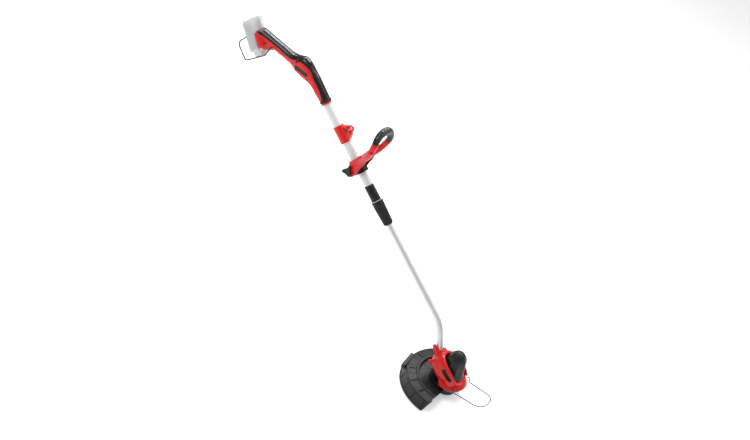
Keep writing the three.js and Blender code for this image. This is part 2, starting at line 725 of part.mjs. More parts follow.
function addCovers() {
  const { radius, bottom, top } = COVER;
  const hole = DOME.radius + 0.6;
  const cover = turned([
    [radius, bottom], ...coverOutline(0), [hole, top],
    [hole, top - 4], [radius - 14, 69], [radius - 5, 60], [radius - 2.8, 50], [radius - 3, bottom],
  ], 24);
  const [px, pz] = GUIDE_PIVOT;
  add(trimmer, "head_cover", cut(cover, rod(2, [px, -80, pz], [px, 80, pz], 10)), RED);
  const foot = [DOME.radius, COVER.bottom + 6];
  const inside = domeOutline(-2.5).reverse();
  const skin = turned([foot, ...domeOutline(0), ...inside, [DOME.radius - 2.5, COVER.bottom + 6]], 24);
  add(trimmer, "motor_cap", skin, BLACK);
}

function addMotor() {
  const plateDisc = ring(69, 8, 41.4, 45.4, 24);
  add(trimmer, "motor_plate", plateDisc, BLACK);
  const can = turned([[4, 46], [21, 46], [21, 108], [19.4, 108], [19.4, 47.6], [4, 47.6]]);
  add(trimmer, "motor_can", can, STEEL);
  const cap = turned([[4, 108.4], [21, 108.4], [21, 116], [12, 118], [4, 118]]);
  add(trimmer, "brush_cap", cap, BLACK);
  const rotor = join(
    rod(2.5, [0, 0, 18], [0, 0, 122], 12),
    rod(16.5, [0, 0, 56], [0, 0, 96], 20),
    rod(8, [0, 0, 95], [0, 0, 106], 16),
  );
  add(trimmer, "rotor", rotor, COPPER);
}

// The end of the guard's arc leans forward from the rim up, as x and z.
const GUARD_END = [[9, -10], [12, 2], [22, GUARD.height], [24, 60]];

function addGuard() {
  const { outer, shoulder, step, height, web, centre } = GUARD;
  const skin = 3;
  const profile = [
    [20, web], [step - 3, web], [step, height + 4], [shoulder, height], [outer, 2],
    [outer - skin, 2], [shoulder - skin, height - skin], [step + skin, height + 1],
    [step, web - skin], [20, web - skin],
  ];
  const bowl = solidOf(geometryOf(turned(profile, 48)).translate(...centre, 0));
  const hubHole = rod(30, [0, 0, 30], [0, 0, 60], 24);
  const farEnd = blockBetween([-25, 62, -10], [FAR, FAR, 60]);
  const room = plate([...GUARD_END, [-FAR, 60], [-FAR, -10]], -FAR, FAR);
  const arc = cut(bowl, hubHole, farEnd).intersect(room);
  const place = THREE.MathUtils.degToRad(194);
  const [tx, ty] = [Math.cos(place), Math.sin(place)].map((v, i) => v * 172 + centre[i]);
  const tab = new THREE.BoxGeometry(14, 80, 20).rotateZ(THREE.MathUtils.degToRad(187));
  add(trimmer, "guard", join(arc, solidOf(tab.translate(tx, ty, 36))), BLACK);
  const endLean = Math.atan2(GUARD_END[2][0] - GUARD_END[1][0], GUARD_END[2][1] - GUARD_END[1][1]);
  const blade = new THREE.BoxGeometry(1.5, 17, 26).rotateY(endLean).translate(18.9, 4 - shoulder, 20);
  add(trimmer, "line_cutter", solidOf(blade), STEEL);
}

function addSpool() {
  const wall = SPOOL_RADIUS - 3;
  const drum = turned([
    [2.6, 31], [wall, 31], [wall, 9], [SPOOL_RADIUS, 9], [SPOOL_RADIUS, 31],
    [wall, 34.5], [7, 34.5], [7, 40.6], [2.6, 40.6],
  ], 24);
  const eyelets = rod(1.8, [-80, 0, 20], [80, 0, 20], 10);
  add(trimmer, "spool_housing", cut(drum, eyelets), BLACK);
  const reel = [[8, 10], [40, 10], [40, 12], [34, 13], [34, 27], [40, 28], [40, 30], [8, 30]];
  add(trimmer, "spool", turned(reel, 24), PALE);
  add(trimmer, "spool_spring", coil(5.6, 0.8, 9, 29, 3), STEEL);
  const cap = turned([[0, 0], [17, 0], [19, 2.6], [42, 3.6], [44.5, 5.5], [44.5, 8.6], [0, 8.6]], 24);
  add(trimmer, "spool_cap", cap, BLACK);
  [1, 2].forEach((n) => {
    const side = n === 1 ? 1 : -1;
    add(trimmer, `cutting_line_${n}`, rod(1.1, [41 * side, 0, 20], [66 * side, 0, 20], 8), LINE);
  });
}

function addFlowerGuard() {
  const [px, pz] = GUIDE_PIVOT;
  const side = (s) => [
    [px, 45.5 * s, pz],
    [px, 54 * s, pz],
    [px + 3, 57.5 * s, pz - 2],
    [px + 9, 55 * s, pz - 12],
    [px + 15, 50 * s, 52],
    [104, 48.5 * s, 55],
    [142, 47 * s, 59],
    [GUIDE_REACH - 18, 43 * s, 61],
    [GUIDE_REACH - 6, 31 * s, 63],
    [GUIDE_REACH - 1, 15 * s, 64],
  ];
  const points = [...side(-1), [GUIDE_REACH, 0, 64], ...side(1).reverse()].map(vec);
  add(trimmer, "flower_guard", bar(points, WIRE_RADIUS, 4), STEEL);
}

addHousing();
addControls();
addBattery();
addUpperShaft();
addLoopHandle();
addLowerTube();
addHead();

export default trimmer;
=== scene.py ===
"""Looks of a cordless lawn edger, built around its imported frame.

Blender lengths are metres. Sizes in this file are millimetres unless they say otherwise, and a Place
turns them into the model's frame.
"""

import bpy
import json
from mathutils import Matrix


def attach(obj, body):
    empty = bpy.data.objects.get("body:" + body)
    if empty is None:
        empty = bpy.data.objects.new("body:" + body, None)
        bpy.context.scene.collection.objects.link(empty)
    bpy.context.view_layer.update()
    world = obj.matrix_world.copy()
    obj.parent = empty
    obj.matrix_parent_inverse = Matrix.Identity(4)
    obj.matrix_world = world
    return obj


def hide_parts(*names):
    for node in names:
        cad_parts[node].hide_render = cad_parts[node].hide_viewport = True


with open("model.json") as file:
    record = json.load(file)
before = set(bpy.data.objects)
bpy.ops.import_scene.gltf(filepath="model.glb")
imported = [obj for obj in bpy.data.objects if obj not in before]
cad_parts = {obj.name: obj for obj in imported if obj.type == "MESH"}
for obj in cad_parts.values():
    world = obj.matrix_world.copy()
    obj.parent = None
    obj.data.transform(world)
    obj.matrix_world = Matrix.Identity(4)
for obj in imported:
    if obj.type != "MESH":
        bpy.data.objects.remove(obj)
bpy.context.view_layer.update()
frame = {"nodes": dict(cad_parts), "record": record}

import json
import math

import bmesh
import bpy
import numpy as np
from mathutils import Matrix, Vector

MM = 0.001
TAU = 2 * math.pi

# ------------------------------------------------------------------ camera, first

CAMERA_RIGHT = Vector((0.7810, 0.5267, 0.3355))
CAMERA_UP = Vector((-0.5662, 0.3707, 0.7362))
CAMERA_BACK = Vector((0.2634, -0.7649, 0.5878))
LOOK_AT = Vector((-0.5092, 0, 0.4402))
CAMERA_DISTANCE = 7.5


def add_camera():
    data = bpy.data.cameras.new("camera")
    data.lens = 100
    data.clip_end = 50
    camera = bpy.data.objects.new("camera", data)
    bpy.context.scene.collection.objects.link(camera)
    turn = Matrix((CAMERA_RIGHT, CAMERA_UP, CAMERA_BACK)).transposed().to_4x4()
    camera.matrix_world = Matrix.Translation(LOOK_AT + CAMERA_BACK * CAMERA_DISTANCE) @ turn
    bpy.context.scene.camera = camera


add_camera()

# ------------------------------------------------------------------ places


class Place:
    """A frame in the model, with y to the user's left. at() takes millimetres along its axes."""

    def __init__(self, origin, x, z):
        self.origin = Vector(origin)
        self.x = Vector(x).normalized()
        self.z = Vector(z).normalized()
        self.y = self.z.cross(self.x)

    def at(self, x, y, z):
        return self.origin + (self.x * x + self.y * y + self.z * z) * MM

    def child(self, at, tilt):
        """A frame at a point of this one, turned about y by a number of degrees."""
        a = math.radians(tilt)
        x = self.x * math.cos(a) - self.z * math.sin(a)
        z = self.x * math.sin(a) + self.z * math.cos(a)
        return Place(self.at(*at), x, z)


JOINT = {joint["name"]: joint for joint in frame["record"]["behaviour"]["joints"]}
LEFT = Vector((0, 1, 0))
SLEEVE_STATION = 400  # where the twist joint sits along the tube
tube_axis = Vector(JOINT["sleeve_twist"]["axis"]).normalized()
shaft_origin = Vector(JOINT["sleeve_twist"]["pos_m"]) - tube_axis * SLEEVE_STATION * MM

WORLD = Place((0, 0, 0), (1, 0, 0), (0, 0, 1))
SHAFT = Place(shaft_origin, LEFT.cross(tube_axis), tube_axis)
GRIP_START = (-34, 0, 1026)
GRIP_TILT = -30
GRIP = SHAFT.child(GRIP_START, GRIP_TILT)
FOOT = SHAFT.child((-124, 0, 1146), 15)

# ------------------------------------------------------------------ meshes


def linked(mesh):
    obj = bpy.data.objects.new("blank", mesh)
    bpy.context.scene.collection.objects.link(obj)
    return obj


def solid(points, faces):
    """A closed mesh that faces outwards."""
    mesh = bpy.data.meshes.new("blank")
    mesh.from_pydata([tuple(p) for p in points], [], faces)
    bm = bmesh.new()
    bm.from_mesh(mesh)
    bmesh.ops.remove_doubles(bm, verts=bm.verts, dist=2e-6)
    bmesh.ops.dissolve_degenerate(bm, edges=bm.edges, dist=1e-6)
    bmesh.ops.recalc_face_normals(bm, faces=bm.faces)
    bm.to_mesh(mesh)
    bm.free()
    return linked(mesh)


def skin(rows, ring=False):
    """Joins rows of points into a closed surface: capped at both ends, or closed on itself."""
    count = len(rows[0])
    faces = []
    for i in range(len(rows) if ring else len(rows) - 1):
        a = i * count
        b = (i + 1) % len(rows) * count
        for j in range(count):
            k = (j + 1) % count
            faces.append((a + j, a + k, b + k, b + j))
    if not ring:
        faces.append(tuple(range(count)))
        faces.append(tuple(range((len(rows) - 1) * count, len(rows) * count)))
    return solid([p for row in rows for p in row], faces)


def smooth_through(rows, count, measured=3):
    """A smooth curve through rows of numbers; the first few measure how far apart the rows are."""
    rows = np.array(rows, float)
    gaps = np.linalg.norm(np.diff(rows[:, :measured], axis=0), axis=1)
    knots = np.concatenate([[0], np.cumsum(gaps)])
    slopes = np.gradient(rows, knots, axis=0)
    curve = []
    for t in np.linspace(0, knots[-1], count):
        i = min(int(np.searchsorted(knots, t, side="right")) - 1, len(gaps) - 1)
        h = gaps[i]
        u = (t - knots[i]) / h
        start = rows[i] * (1 - u) ** 2 * (1 + 2 * u) + slopes[i] * h * u * (1 - u) ** 2
        end = rows[i + 1] * u**2 * (3 - 2 * u) - slopes[i + 1] * h * u**2 * (1 - u)
        curve.append(start + end)
    return curve


def eased(value, power):
    return math.copysign(abs(value) ** (2 / power), value)


def loft(place, stations, count, sides=64):
    """A skin over superelliptic sections, each a centre, two half axes and a power."""
    rows = []
    for s in smooth_through(stations, count):
        centre, u, v = (Vector(s[i:i + 3]) for i in (0, 3, 6))
        row = []
        for j in range(sides):
            a = TAU * (j + 0.5) / sides
            point = centre + u * eased(math.cos(a), s[9]) + v * eased(math.sin(a), s[9])
            row.append(place.at(*point))
        rows.append(row)
    return skin(rows)


def turned(place, profile, sides=72, shape=None):
    """A solid of revolution about z. shape(angle, radius, z) may change each point's radius."""
    rows = []
    for i in range(sides):
        a = TAU * i / sides
        row = []
        for r, z in profile:
            reach = shape(a, r, z) if shape else r
            row.append(place.at(reach * math.cos(a), reach * math.sin(a), z))
        rows.append(row)
    return skin(rows, ring=True)


def plate(place, outline, y0, y1):
    """Extrudes an outline of x and z points across y."""
    return skin([[place.at(x, y, z) for x, z in outline] for y in (y0, y1)])


def slab(place, outline, z0, z1):
    """Extrudes an outline of x and y points along z."""
    return skin([[place.at(x, y, z) for x, y in outline] for z in (z0, z1)])


def block(place, low, high):
    outline = [(low[0], low[2]), (high[0], low[2]), (high[0], high[2]), (low[0], high[2])]
    return plate(place, outline, low[1], high[1])


def arc(x, y, radius, start, end, steps=10):
    """Points of an arc, from one angle in degrees to another."""
    angles = [math.radians(start + (end - start) * i / steps) for i in range(steps + 1)]
    return [(x + radius * math.cos(a), y + radius * math.sin(a)) for a in angles]


def capsule(start, end, radius):
    """A bar with round ends between two points of a plane."""
    a = math.degrees(math.atan2(end[1] - start[1], end[0] - start[0]))
    return arc(*end, radius, a - 90, a + 90) + arc(*start, radius, a + 90, a + 270)


def swept(points, radius, sides=20, ring=False):
    """A round bar along a list of points of the model. radius is one size, or one for each point."""
    radii = radius if isinstance(radius, list) else [radius] * len(points)
    across = None
    rows = []
    for i, point in enumerate(points):
        before = points[i - 1] if i or ring else point
        after = points[(i + 1) % len(points)] if i + 1 < len(points) or ring else point
        along = (after - before).normalized()
        if across is None:
            across = along.orthogonal()
        across = (across - along * across.dot(along)).normalized()
        other = along.cross(across)
        turns = [TAU * j / sides for j in range(sides)]
        rows.append([
            point + (across * math.cos(a) + other * math.sin(a)) * radii[i] * MM for a in turns
        ])
    return skin(rows, ring)


def rod(place, radius, start, end, sides=48, end_radius=None):
    ends = [place.at(*start), place.at(*end)]
    return swept(ends, [radius, radius if end_radius is None else end_radius], sides)


def route(place, points, count):
    return [place.at(*p) for p in smooth_through(points, count)]


def rounded(points, radius, steps=6):
    """A polyline with its corners rounded."""
    path = [points[0]]
    for before, corner, after in zip(points, points[1:], points[2:]):
        reach = min(radius, (before - corner).length * 0.48, (after - corner).length * 0.48)
        a = corner + (before - corner).normalized() * reach
        b = corner + (after - corner).normalized() * reach
        for i in range(steps + 1):
            u = i / steps
            path.append(a * (1 - u) ** 2 + corner * 2 * u * (1 - u) + b * u**2)
    return path + [points[-1]]


# ------------------------------------------------------------------ joining and cutting


def baked(obj):
    """Replaces an object's mesh by what its modifiers make of it."""
    graph = bpy.context.evaluated_depsgraph_get()
    mesh = bpy.data.meshes.new_from_object(obj.evaluated_get(graph))
    obj.modifiers.clear()
    obj.data = mesh
    return obj


def combined(obj, tools, how):
    for tool in tools:
        modifier = obj.modifiers.new("combine", "BOOLEAN")
        modifier.operation = how
        modifier.solver = "EXACT"
        modifier.object = tool
        baked(obj)
        bpy.data.objects.remove(tool)
    return obj


def cut(obj, *tools):
    return combined(obj, tools, "DIFFERENCE")


def joined(obj, *tools):
    return combined(obj, tools, "UNION")


def common(obj, tool):
    return combined(obj, [tool], "INTERSECT")


def twin(obj):
    return linked(obj.data.copy())


def softened(obj, width, segments=4):
    """Rounds every sharp edge, and keeps the rounding in the mesh."""
    edge = obj.modifiers.new("round", "BEVEL")
    edge.width = width * MM
    edge.segments = segments
    edge.limit_method = "ANGLE"
    return baked(obj)


def moulded(parts, voxel, softening):
    """Melts overlapping solids into one smooth casting."""
    bm = bmesh.new()
    for part in parts:
        bm.from_mesh(part.data)
        bpy.data.objects.remove(part)
    mesh = bpy.data.meshes.new("blank")
    bm.to_mesh(mesh)
    bm.free()
    obj = linked(mesh)
    remesh = obj.modifiers.new("remesh", "REMESH")
    remesh.mode = "VOXEL"
    remesh.voxel_size = voxel * MM
    smooth = obj.modifiers.new("smooth", "SMOOTH")
    smooth.factor = 0.5
    smooth.iterations = softening
    return baked(obj)


def piece(obj, name, slot, body, nodes=(), bevel=0.4, segments=2, look=None, sharp=35):
    """Names a finished piece, gives it soft edges and the look of its slot (or another named look), and
    lets it ride.
    """
    obj.name = name
    obj.data.name = name
    obj.data.materials.clear()
    obj.data.materials.append(LOOKS[look or slot])
    obj.data.shade_smooth()
    obj.data.set_sharp_from_angle(angle=math.radians(sharp))
    if bevel:
        edge = obj.modifiers.new("edges", "BEVEL")
        edge.width = bevel * MM
        edge.segments = segments
        edge.limit_method = "ANGLE"
        edge.angle_limit = math.radians(sharp)
        edge.harden_normals = True
    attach(obj, body)
    if nodes:
        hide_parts(*nodes)
    return obj


# ------------------------------------------------------------------ looks


class Nodes:
    """A material's node tree, with short calls to add and join nodes."""

    def __init__(self, name):
        self.material = bpy.data.materials.new(name)
        self.material.use_nodes = True
        self.tree = self.material.node_tree
        self.shader = self.tree.nodes["Principled BSDF"]
        self.space = self.add("ShaderNodeTexCoord").outputs["Object"]

    def add(self, kind, **inputs):
        node = self.tree.nodes.new(kind)
        for name, value in inputs.items():
            self.put(node.inputs[name.replace("_", " ")], value)
        return node

    def put(self, socket, value):
        if isinstance(value, bpy.types.NodeSocket):
            self.tree.links.new(value, socket)
        else:
            socket.default_value = value

    def noise(self, scale, detail=3, stretch=None):
        space = self.space
        if stretch:
            space = self.stretched(stretch)
        return self.add("ShaderNodeTexNoise", Vector=space, Scale=scale, Detail=detail).outputs["Fac"]

    def stretched(self, factor):
        """Coordinates that change slowly along the straight tube."""
        along = self.add("ShaderNodeVectorMath")
        along.operation = "DOT_PRODUCT"
        self.put(along.inputs[0], self.space)
        self.put(along.inputs[1], tuple(tube_axis))
        drop = self.add("ShaderNodeVectorMath")
        drop.operation = "SCALE"
        self.put(drop.inputs[0], tuple(tube_axis * (factor - 1)))
        self.put(drop.inputs["Scale"], along.outputs["Value"])
        whole = self.add("ShaderNodeVectorMath")
        self.put(whole.inputs[0], self.space)
        self.put(whole.inputs[1], drop.outputs["Vector"])
        return whole.outputs["Vector"]

    def span(self, value, low, high, start=0.3, end=0.7):
        node = self.add("ShaderNodeMapRange")
        self.put(node.inputs["Value"], value)
        self.put(node.inputs["From Min"], start)
        self.put(node.inputs["From Max"], end)
        self.put(node.inputs["To Min"], low)
        self.put(node.inputs["To Max"], high)
        return node.outputs["Result"]

    def mix(self, amount, a, b):
        node = self.add("ShaderNodeMix")
        node.data_type = "RGBA"
        self.put(node.inputs["Factor"], amount)
        self.put(node.inputs[6], a)
        self.put(node.inputs[7], b)
        return node.outputs[2]

    def product(self, a, b):
        node = self.add("ShaderNodeMath")
        node.operation = "MULTIPLY"
        self.put(node.inputs[0], a)
        self.put(node.inputs[1], b)
        return node.outputs[0]

    def edges(self):
        """One along worn outer edges, broken up by noise, and zero on flats."""
        shape = self.add("ShaderNodeNewGeometry").outputs["Pointiness"]
        worn = self.span(shape, 0, 1, 0.515, 0.58)
        return self.product(worn, self.span(self.noise(240), 0, 1, 0.42, 0.62))


def shaded(color, factor):
    return tuple(min(1, v * factor) for v in color[:3]) + (1,)


def finish(name, color, rough, grain, bump, wear=1.5, vary=0.1, stretch=None, **sockets):
    """A moulded, painted or metal finish with drift of colour, grain, worn edges and uneven gloss."""
    nodes = Nodes(name)
    drift = nodes.span(nodes.noise(22, 4), 0, 1)
    base = nodes.mix(drift, shaded(color, 1 - vary), shaded(color, 1 + vary))
    edge = nodes.product(nodes.edges(), 0.5)
    nodes.put(nodes.shader.inputs["Base Color"], nodes.mix(edge, base, shaded(color, wear)))
    gloss = nodes.span(nodes.noise(90, 5, stretch), rough * 0.85, rough * 1.15)
    nodes.put(nodes.shader.inputs["Roughness"], gloss)
    relief = nodes.add("ShaderNodeBump", Height=nodes.noise(grain, 2, stretch))
    relief.inputs["Strength"].default_value = bump
    relief.inputs["Distance"].default_value = 0.0002
    nodes.put(nodes.shader.inputs["Normal"], relief.outputs["Normal"])
    for socket, value in sockets.items():
        nodes.shader.inputs[socket.replace("_", " ")].default_value = value
    return nodes.material


def coloured(slot):
    """The base colour that the record gives a slot."""
    rows = {row["slot"]: row["base_color"] for row in frame["record"]["materials"]}
    return rows[slot]


def frosted(name, color):
    material = finish(name, shaded(color, 0.92), 0.36, 900, 0.15, wear=1.1, vary=0.03, Alpha=0.72, IOR=1.45)
    material.node_tree.nodes["Principled BSDF"].inputs["Transmission Weight"].default_value = 0.35
    return material


def make_looks():
    looks = {}
    looks["red_shell"] = finish(
        "red_shell", coloured("red_shell"), 0.30, 1500, 0.08, wear=1.35, vary=0.06, Coat_Weight=0.12,
        Coat_Roughness=0.12, Specular_IOR_Level=0.35)
    looks["black_shell"] = finish(
        "black_shell", shaded(coloured("black_shell"), 0.5), 0.46, 2200, 0.20, wear=4.0, vary=0.15,
        Specular_IOR_Level=0.35)
    looks["black_gloss"] = finish(
        "black_gloss", shaded(coloured("black_shell"), 0.45), 0.28, 1800, 0.08, wear=3.5, vary=0.12,
        Specular_IOR_Level=0.4)
    looks["soft_grip"] = finish(
        "soft_grip", shaded(coloured("soft_grip"), 0.45), 0.30, 1300, 0.25, wear=2.5, vary=0.15,
        Sheen_Weight=0.06, Sheen_Roughness=0.4)
    looks["white_tube"] = finish(
        "white_tube", coloured("white_tube"), 0.30, 700, 0.10, wear=0.8, vary=0.03, Coat_Weight=0.3)
    looks["silver_tube"] = finish(
        "silver_tube", shaded(coloured("silver_tube"), 1.1), 0.36, 1600, 0.12, wear=1.2, vary=0.04,
        stretch=0.03, Metallic=0.35)
    looks["steel"] = finish(
        "steel", coloured("steel"), 0.33, 1800, 0.15, wear=1.4, vary=0.08, Metallic=0.95)
    looks["dark_wire"] = finish(
        "dark_wire", shaded(coloured("dark_wire"), 0.7), 0.40, 1400, 0.12, wear=2.5, vary=0.12,
        Metallic=0.4)
    looks["copper"] = finish("copper", coloured("copper"), 0.35, 1500, 0.1, Metallic=0.9)
    looks["frosted_pack"] = frosted("frosted_pack", coloured("frosted_pack"))
    looks["pale_plastic"] = finish("pale_plastic", coloured("pale_plastic"), 0.45, 1500, 0.1, wear=1.1)
    looks["board"] = finish("board", coloured("board"), 0.45, 900, 0.2)
    looks["line"] = finish("line", coloured("line"), 0.4, 1500, 0.1, wear=1.1, Subsurface_Weight=0.2)
    return looks


LOOKS = make_looks()

# ------------------------------------------------------------------ rear housing

HOUSING_FRONT = 835
RIM_TOP = 841  # the red rim below the front band
WALL = 2.6
GROOVE = 0.35  # the joint line between neighbouring shells
FAR = 400


def section(x, z, tilt, half_height, half_width, power):
    """A loft station square to a path in the XZ plane."""
    a = math.radians(tilt)
    return [x, 0, z, half_height * math.cos(a), 0, half_height * math.sin(a), 0, half_width, 0, power]


def grip_section(distance, half_height, half_width):
    a = math.radians(GRIP_TILT)
    x = GRIP_START[0] + distance * math.sin(a)
    z = GRIP_START[2] + distance * math.cos(a)
    return section(x, z, -GRIP_TILT, half_height, half_width, 2.6)


def housing_skin(thinner):
    nose = [section(2.5, HOUSING_FRONT, 0, 19.7, 19.5, 2), section(2, 880, 0, 21.5, 20.5, 2.2)]
    t = thinner
    return loft(SHAFT, ([] if thinner else nose) + [
        section(1.5, 928, 0, 24 - t, 22 - t, 2.4),
        section(-5, 955, 4, 29 - t, 24 - t, 2.6),
        section(-12, 985, 8, 36 - t, 25 - t, 2.6),
        section(-18, 1006, 16, 35 - t, 25 - t, 2.6),
        section(-31, 1022, 26, 24 - t, 23 - t, 2.6),
        grip_section(12, 18.5 - t, 21.5 - t),
        grip_section(60, 18 - t, 21 - t),
        grip_section(110, 19 - t, 22 - t),
        grip_section(142 if thinner else 175, 21 - t, 24 - t),
    ], 96)


def foot_skin(t):
    def across(x, z, half_length, half_width, power):
        return [x, 0, z, 0, 0, half_length - t, 0, half_width - t, 0, power]

    return loft(FOOT, [
        across(3 if t else 0, 0, 31, 37, 6),
        across(10, -1, 30, 35, 5),
        across(22, -6, 22, 27, 4),
        across(34, -10, 13, 17, 3),
    ], 24)


def above_seam(drop):
    """Everything above the side line, lowered by drop, where the black cover meets the red shells."""
    line = smooth_through([
        (-14, RIM_TOP), (-4, 851), (6, 864), (11, 884), (14, 930), (18, 965), (9, 996),
        (-7, 1018), (-30, 1032), (-65, 1093), (-101, 1155), (-140, 1222),
    ], 60, measured=2)
    outline = [(x - drop, z) for x, z in line] + [(120, 1222), (120, RIM_TOP)]
    return plate(SHAFT, outline, -60, 60)


def housing_shell():
    gusset = plate(FOOT, [(1, -26), (1, -37), (8, -41), (30, -42), (52, -38), (60, -16), (20, -5)], -21, 21)
    shell = joined(housing_skin(0), foot_skin(0), softened(gusset, 7))
    nose_room = rod(SHAFT, 16.4, (0, 0, 830), (0, 0, 930))
    hollow = joined(housing_skin(WALL), foot_skin(WALL))
    behind_plate = block(FOOT, (-FAR, -FAR, -FAR), (0, FAR, FAR))
    end_slope = [(-95, 1168), (-125, 1183), (-125, 1300), (-20, 1300), (-20, 1213)]
    return cut(shell, hollow, nose_room, behind_plate, plate(SHAFT, end_slope, -60, 60),
               *housing_openings())


def housing_openings():
    return [
        block(FOOT, (-3, -16, -25), (9, 16, 25)),
        block(GRIP, (-40, -8.6, -2), (-8, 8.6, 76)),
        rod(SHAFT, 6.6, (-10, -40, 1018), (-10, -8, 1018)),
        rod(SHAFT, 5.6, (5, 0, 984), (60, 0, 990)),
        rod(FOOT, 2.8, (46, -30, -34.2), (46, 30, -34.2)),
    ]


BADGE_START = (-27, 999)
BADGE_END = (-4, 961)
SCREWS = [(-14, -20.4, 943), (-38, -24.4, 992), (-104, -34.5, 1124)]


def side_room(side, gap):
    """Everything on one side of the shaft's plane of symmetry, from a small gap outwards."""
    low, high = sorted((side * gap, side * FAR))
    return block(SHAFT, (-FAR, low, 0), (FAR, high, 2000))


def badge_pocket(side):
    """A pocket a little larger than the badge."""
    return plate(SHAFT, capsule(BADGE_START, BADGE_END, 8.2), side * 22.6, side * 60)


def red_details(shell, side):
    """Sinks a frame around the badge and a long scoop along the nose."""
    scoop = capsule((3, 876), (5, 918), 3.4)
    return cut(shell, badge_pocket(side), plate(SHAFT, scoop, side * 19.2, side * 40))


def add_housing():
    shell = housing_shell()
    lower = cut(twin(shell), above_seam(GROOVE))
    cover = common(shell, above_seam(0))
    for side, name in ((-1, "right"), (1, "left")):
        half = side_room(side, 0.1)
        red = red_details(common(twin(lower), half), side)
        if side < 0:
            wells = [rod(SHAFT, 4, (x, -60, z), (x, y + 1.6, z)) for x, y, z in SCREWS]
            red = cut(red, *wells)
        piece(red, f"shell_{name}", "red_shell", "rear_unit", [f"housing_{name}"])
    bpy.data.objects.remove(lower)
    behind = block(GRIP, (-FAR, -FAR, 8), (FAR, FAR, FAR))
    before = block(GRIP, (-FAR, -FAR, -FAR), (FAR, FAR, 8 - GROOVE))
    front = cut(common(twin(cover), before), *(badge_pocket(side) for side in (-1, 1)))
    piece(front, "cover_top", "black_shell", "rear_unit", ["top_cover"], look="black_gloss")
    grip = cut(common(cover, behind), *grip_grooves())
    piece(grip, "cover_grip", "soft_grip", "rear_unit", ["grip_cover"])
    add_housing_trim()


def grip_grooves():
    """Shallow finger grooves across both sides of the soft grip."""
    grooves = []
    for side in (-1, 1):
        for i in range(9):
            z = 34 + 9 * i
            path = [GRIP.at(x, side * y, z + 3 * (x < 10)) for x, y in ((2, 22.6), (9, 21), (14, 17.5))]
            grooves.append(swept(path, 1.1, 10))
    return grooves


def add_housing_trim():
    for side, name in ((-1, "right"), (1, "left")):
        plaque = plate(SHAFT, capsule(BADGE_START, BADGE_END, 7.3), side * 20, side * 23.9)
        piece(plaque, f"badge_{name}", "black_shell", "rear_unit", [f"housing_badge_{name}"],
              bevel=0.8, look="black_gloss")
    for i, (x, y, z) in enumerate(SCREWS):
        place = SHAFT.child((x, 0, z), 0)
        add_screw(f"screw_{i + 1}", place, y, f"housing_screw_{i + 1}", look="dark_wire")
    band = turned(SHAFT.child((2.4, 0, 0), 0), [(19, 841.3), (21.6, 841.3), (22.4, 843), (22.4, 848),
                                                (21.6, 850), (19, 850)], 96)
    piece(band, "band", "black_shell", "rear_unit", ["front_band"])


def add_screw(name, place, head_y, node, radius=3.3, look="steel"):
    """A countersunk screw from the right, with a cross recess."""
    head = rod(place, radius, (0, head_y + 2.6, 0), (0, head_y, 0), 32, radius * 0.8)
    shank = rod(place, 1.6, (0, head_y + 2, 0), (0, head_y + 9, 0), 24)
    arms = [block(place, (-a, head_y - 2, -b), (a, head_y + 1.4, b)) for a, b in ((2.2, 0.45), (0.45, 2.2))]
    piece(cut(joined(head, shank), *arms), name, "steel", "rear_unit", [node], bevel=0.2, look=look)


def add_controls():
    finger_side = smooth_through([
        (-15, 73), (-21.5, 67.5), (-20.6, 52), (-21, 36), (-23, 24), (-21, 12), (-14, 3),
    ], 40, measured=2)
    trigger = plate(GRIP, [(-9, 4), (-9, 70)] + [tuple(p) for p in finger_side], -8, 8)
    pin_way = rod(GRIP, 2.3, (-12, -20, 9), (-12, 20, 9))
    grooves = [rod(GRIP, 1, (-23.4, -12, z), (-23.4, 12, z), 16) for z in (30, 35, 40, 45)]
    piece(cut(trigger, pin_way, *grooves), "trigger_lever", "red_shell", "trigger", ["trigger"], bevel=1.6,
          segments=4)
    pin = rod(GRIP, 2, (-12, -16, 9), (-12, 16, 9))
    piece(pin, "trigger_axle", "steel", "rear_unit", ["trigger_pin"], bevel=0.5)

    side_place = SHAFT.child((-10, 0, 1018), 0)
    side_button = joined(
        rod(side_place, 6, (0, -26, 0), (0, -12.5, 0)),
        rod(side_place, 6.8, (0, -13, 0), (0, -10, 0)))
    dish = rod(side_place, 3.4, (0, -28, 0), (0, -25.2, 0))
    piece(cut(side_button, dish), "lock_key", "black_shell", "lock", ["lock_button"], bevel=0.8, segments=3)

    speed_tilt = math.degrees(math.atan2(27 - 8, 986.8 - 984.5))
    speed_place = SHAFT.child((8, 0, 984.5), speed_tilt)
    knob = turned(speed_place, [
        (0, -2), (7, -2), (7, 1), (5, 1.3), (5, 17.4), (3.8, 19.1), (2.6, 18.6), (0, 18.2),
    ])
    piece(knob, "speed_key", "black_shell", "speed", ["speed_button"], bevel=0.3)
    bezel = turned(speed_place, [(5.8, 10), (8.4, 10), (8.2, 16), (7.2, 17.2), (6, 16.4), (5.8, 15)])
    piece(bezel, "speed_bezel", "black_shell", "rear_unit", bevel=0.3)


# ------------------------------------------------------------------ battery pack


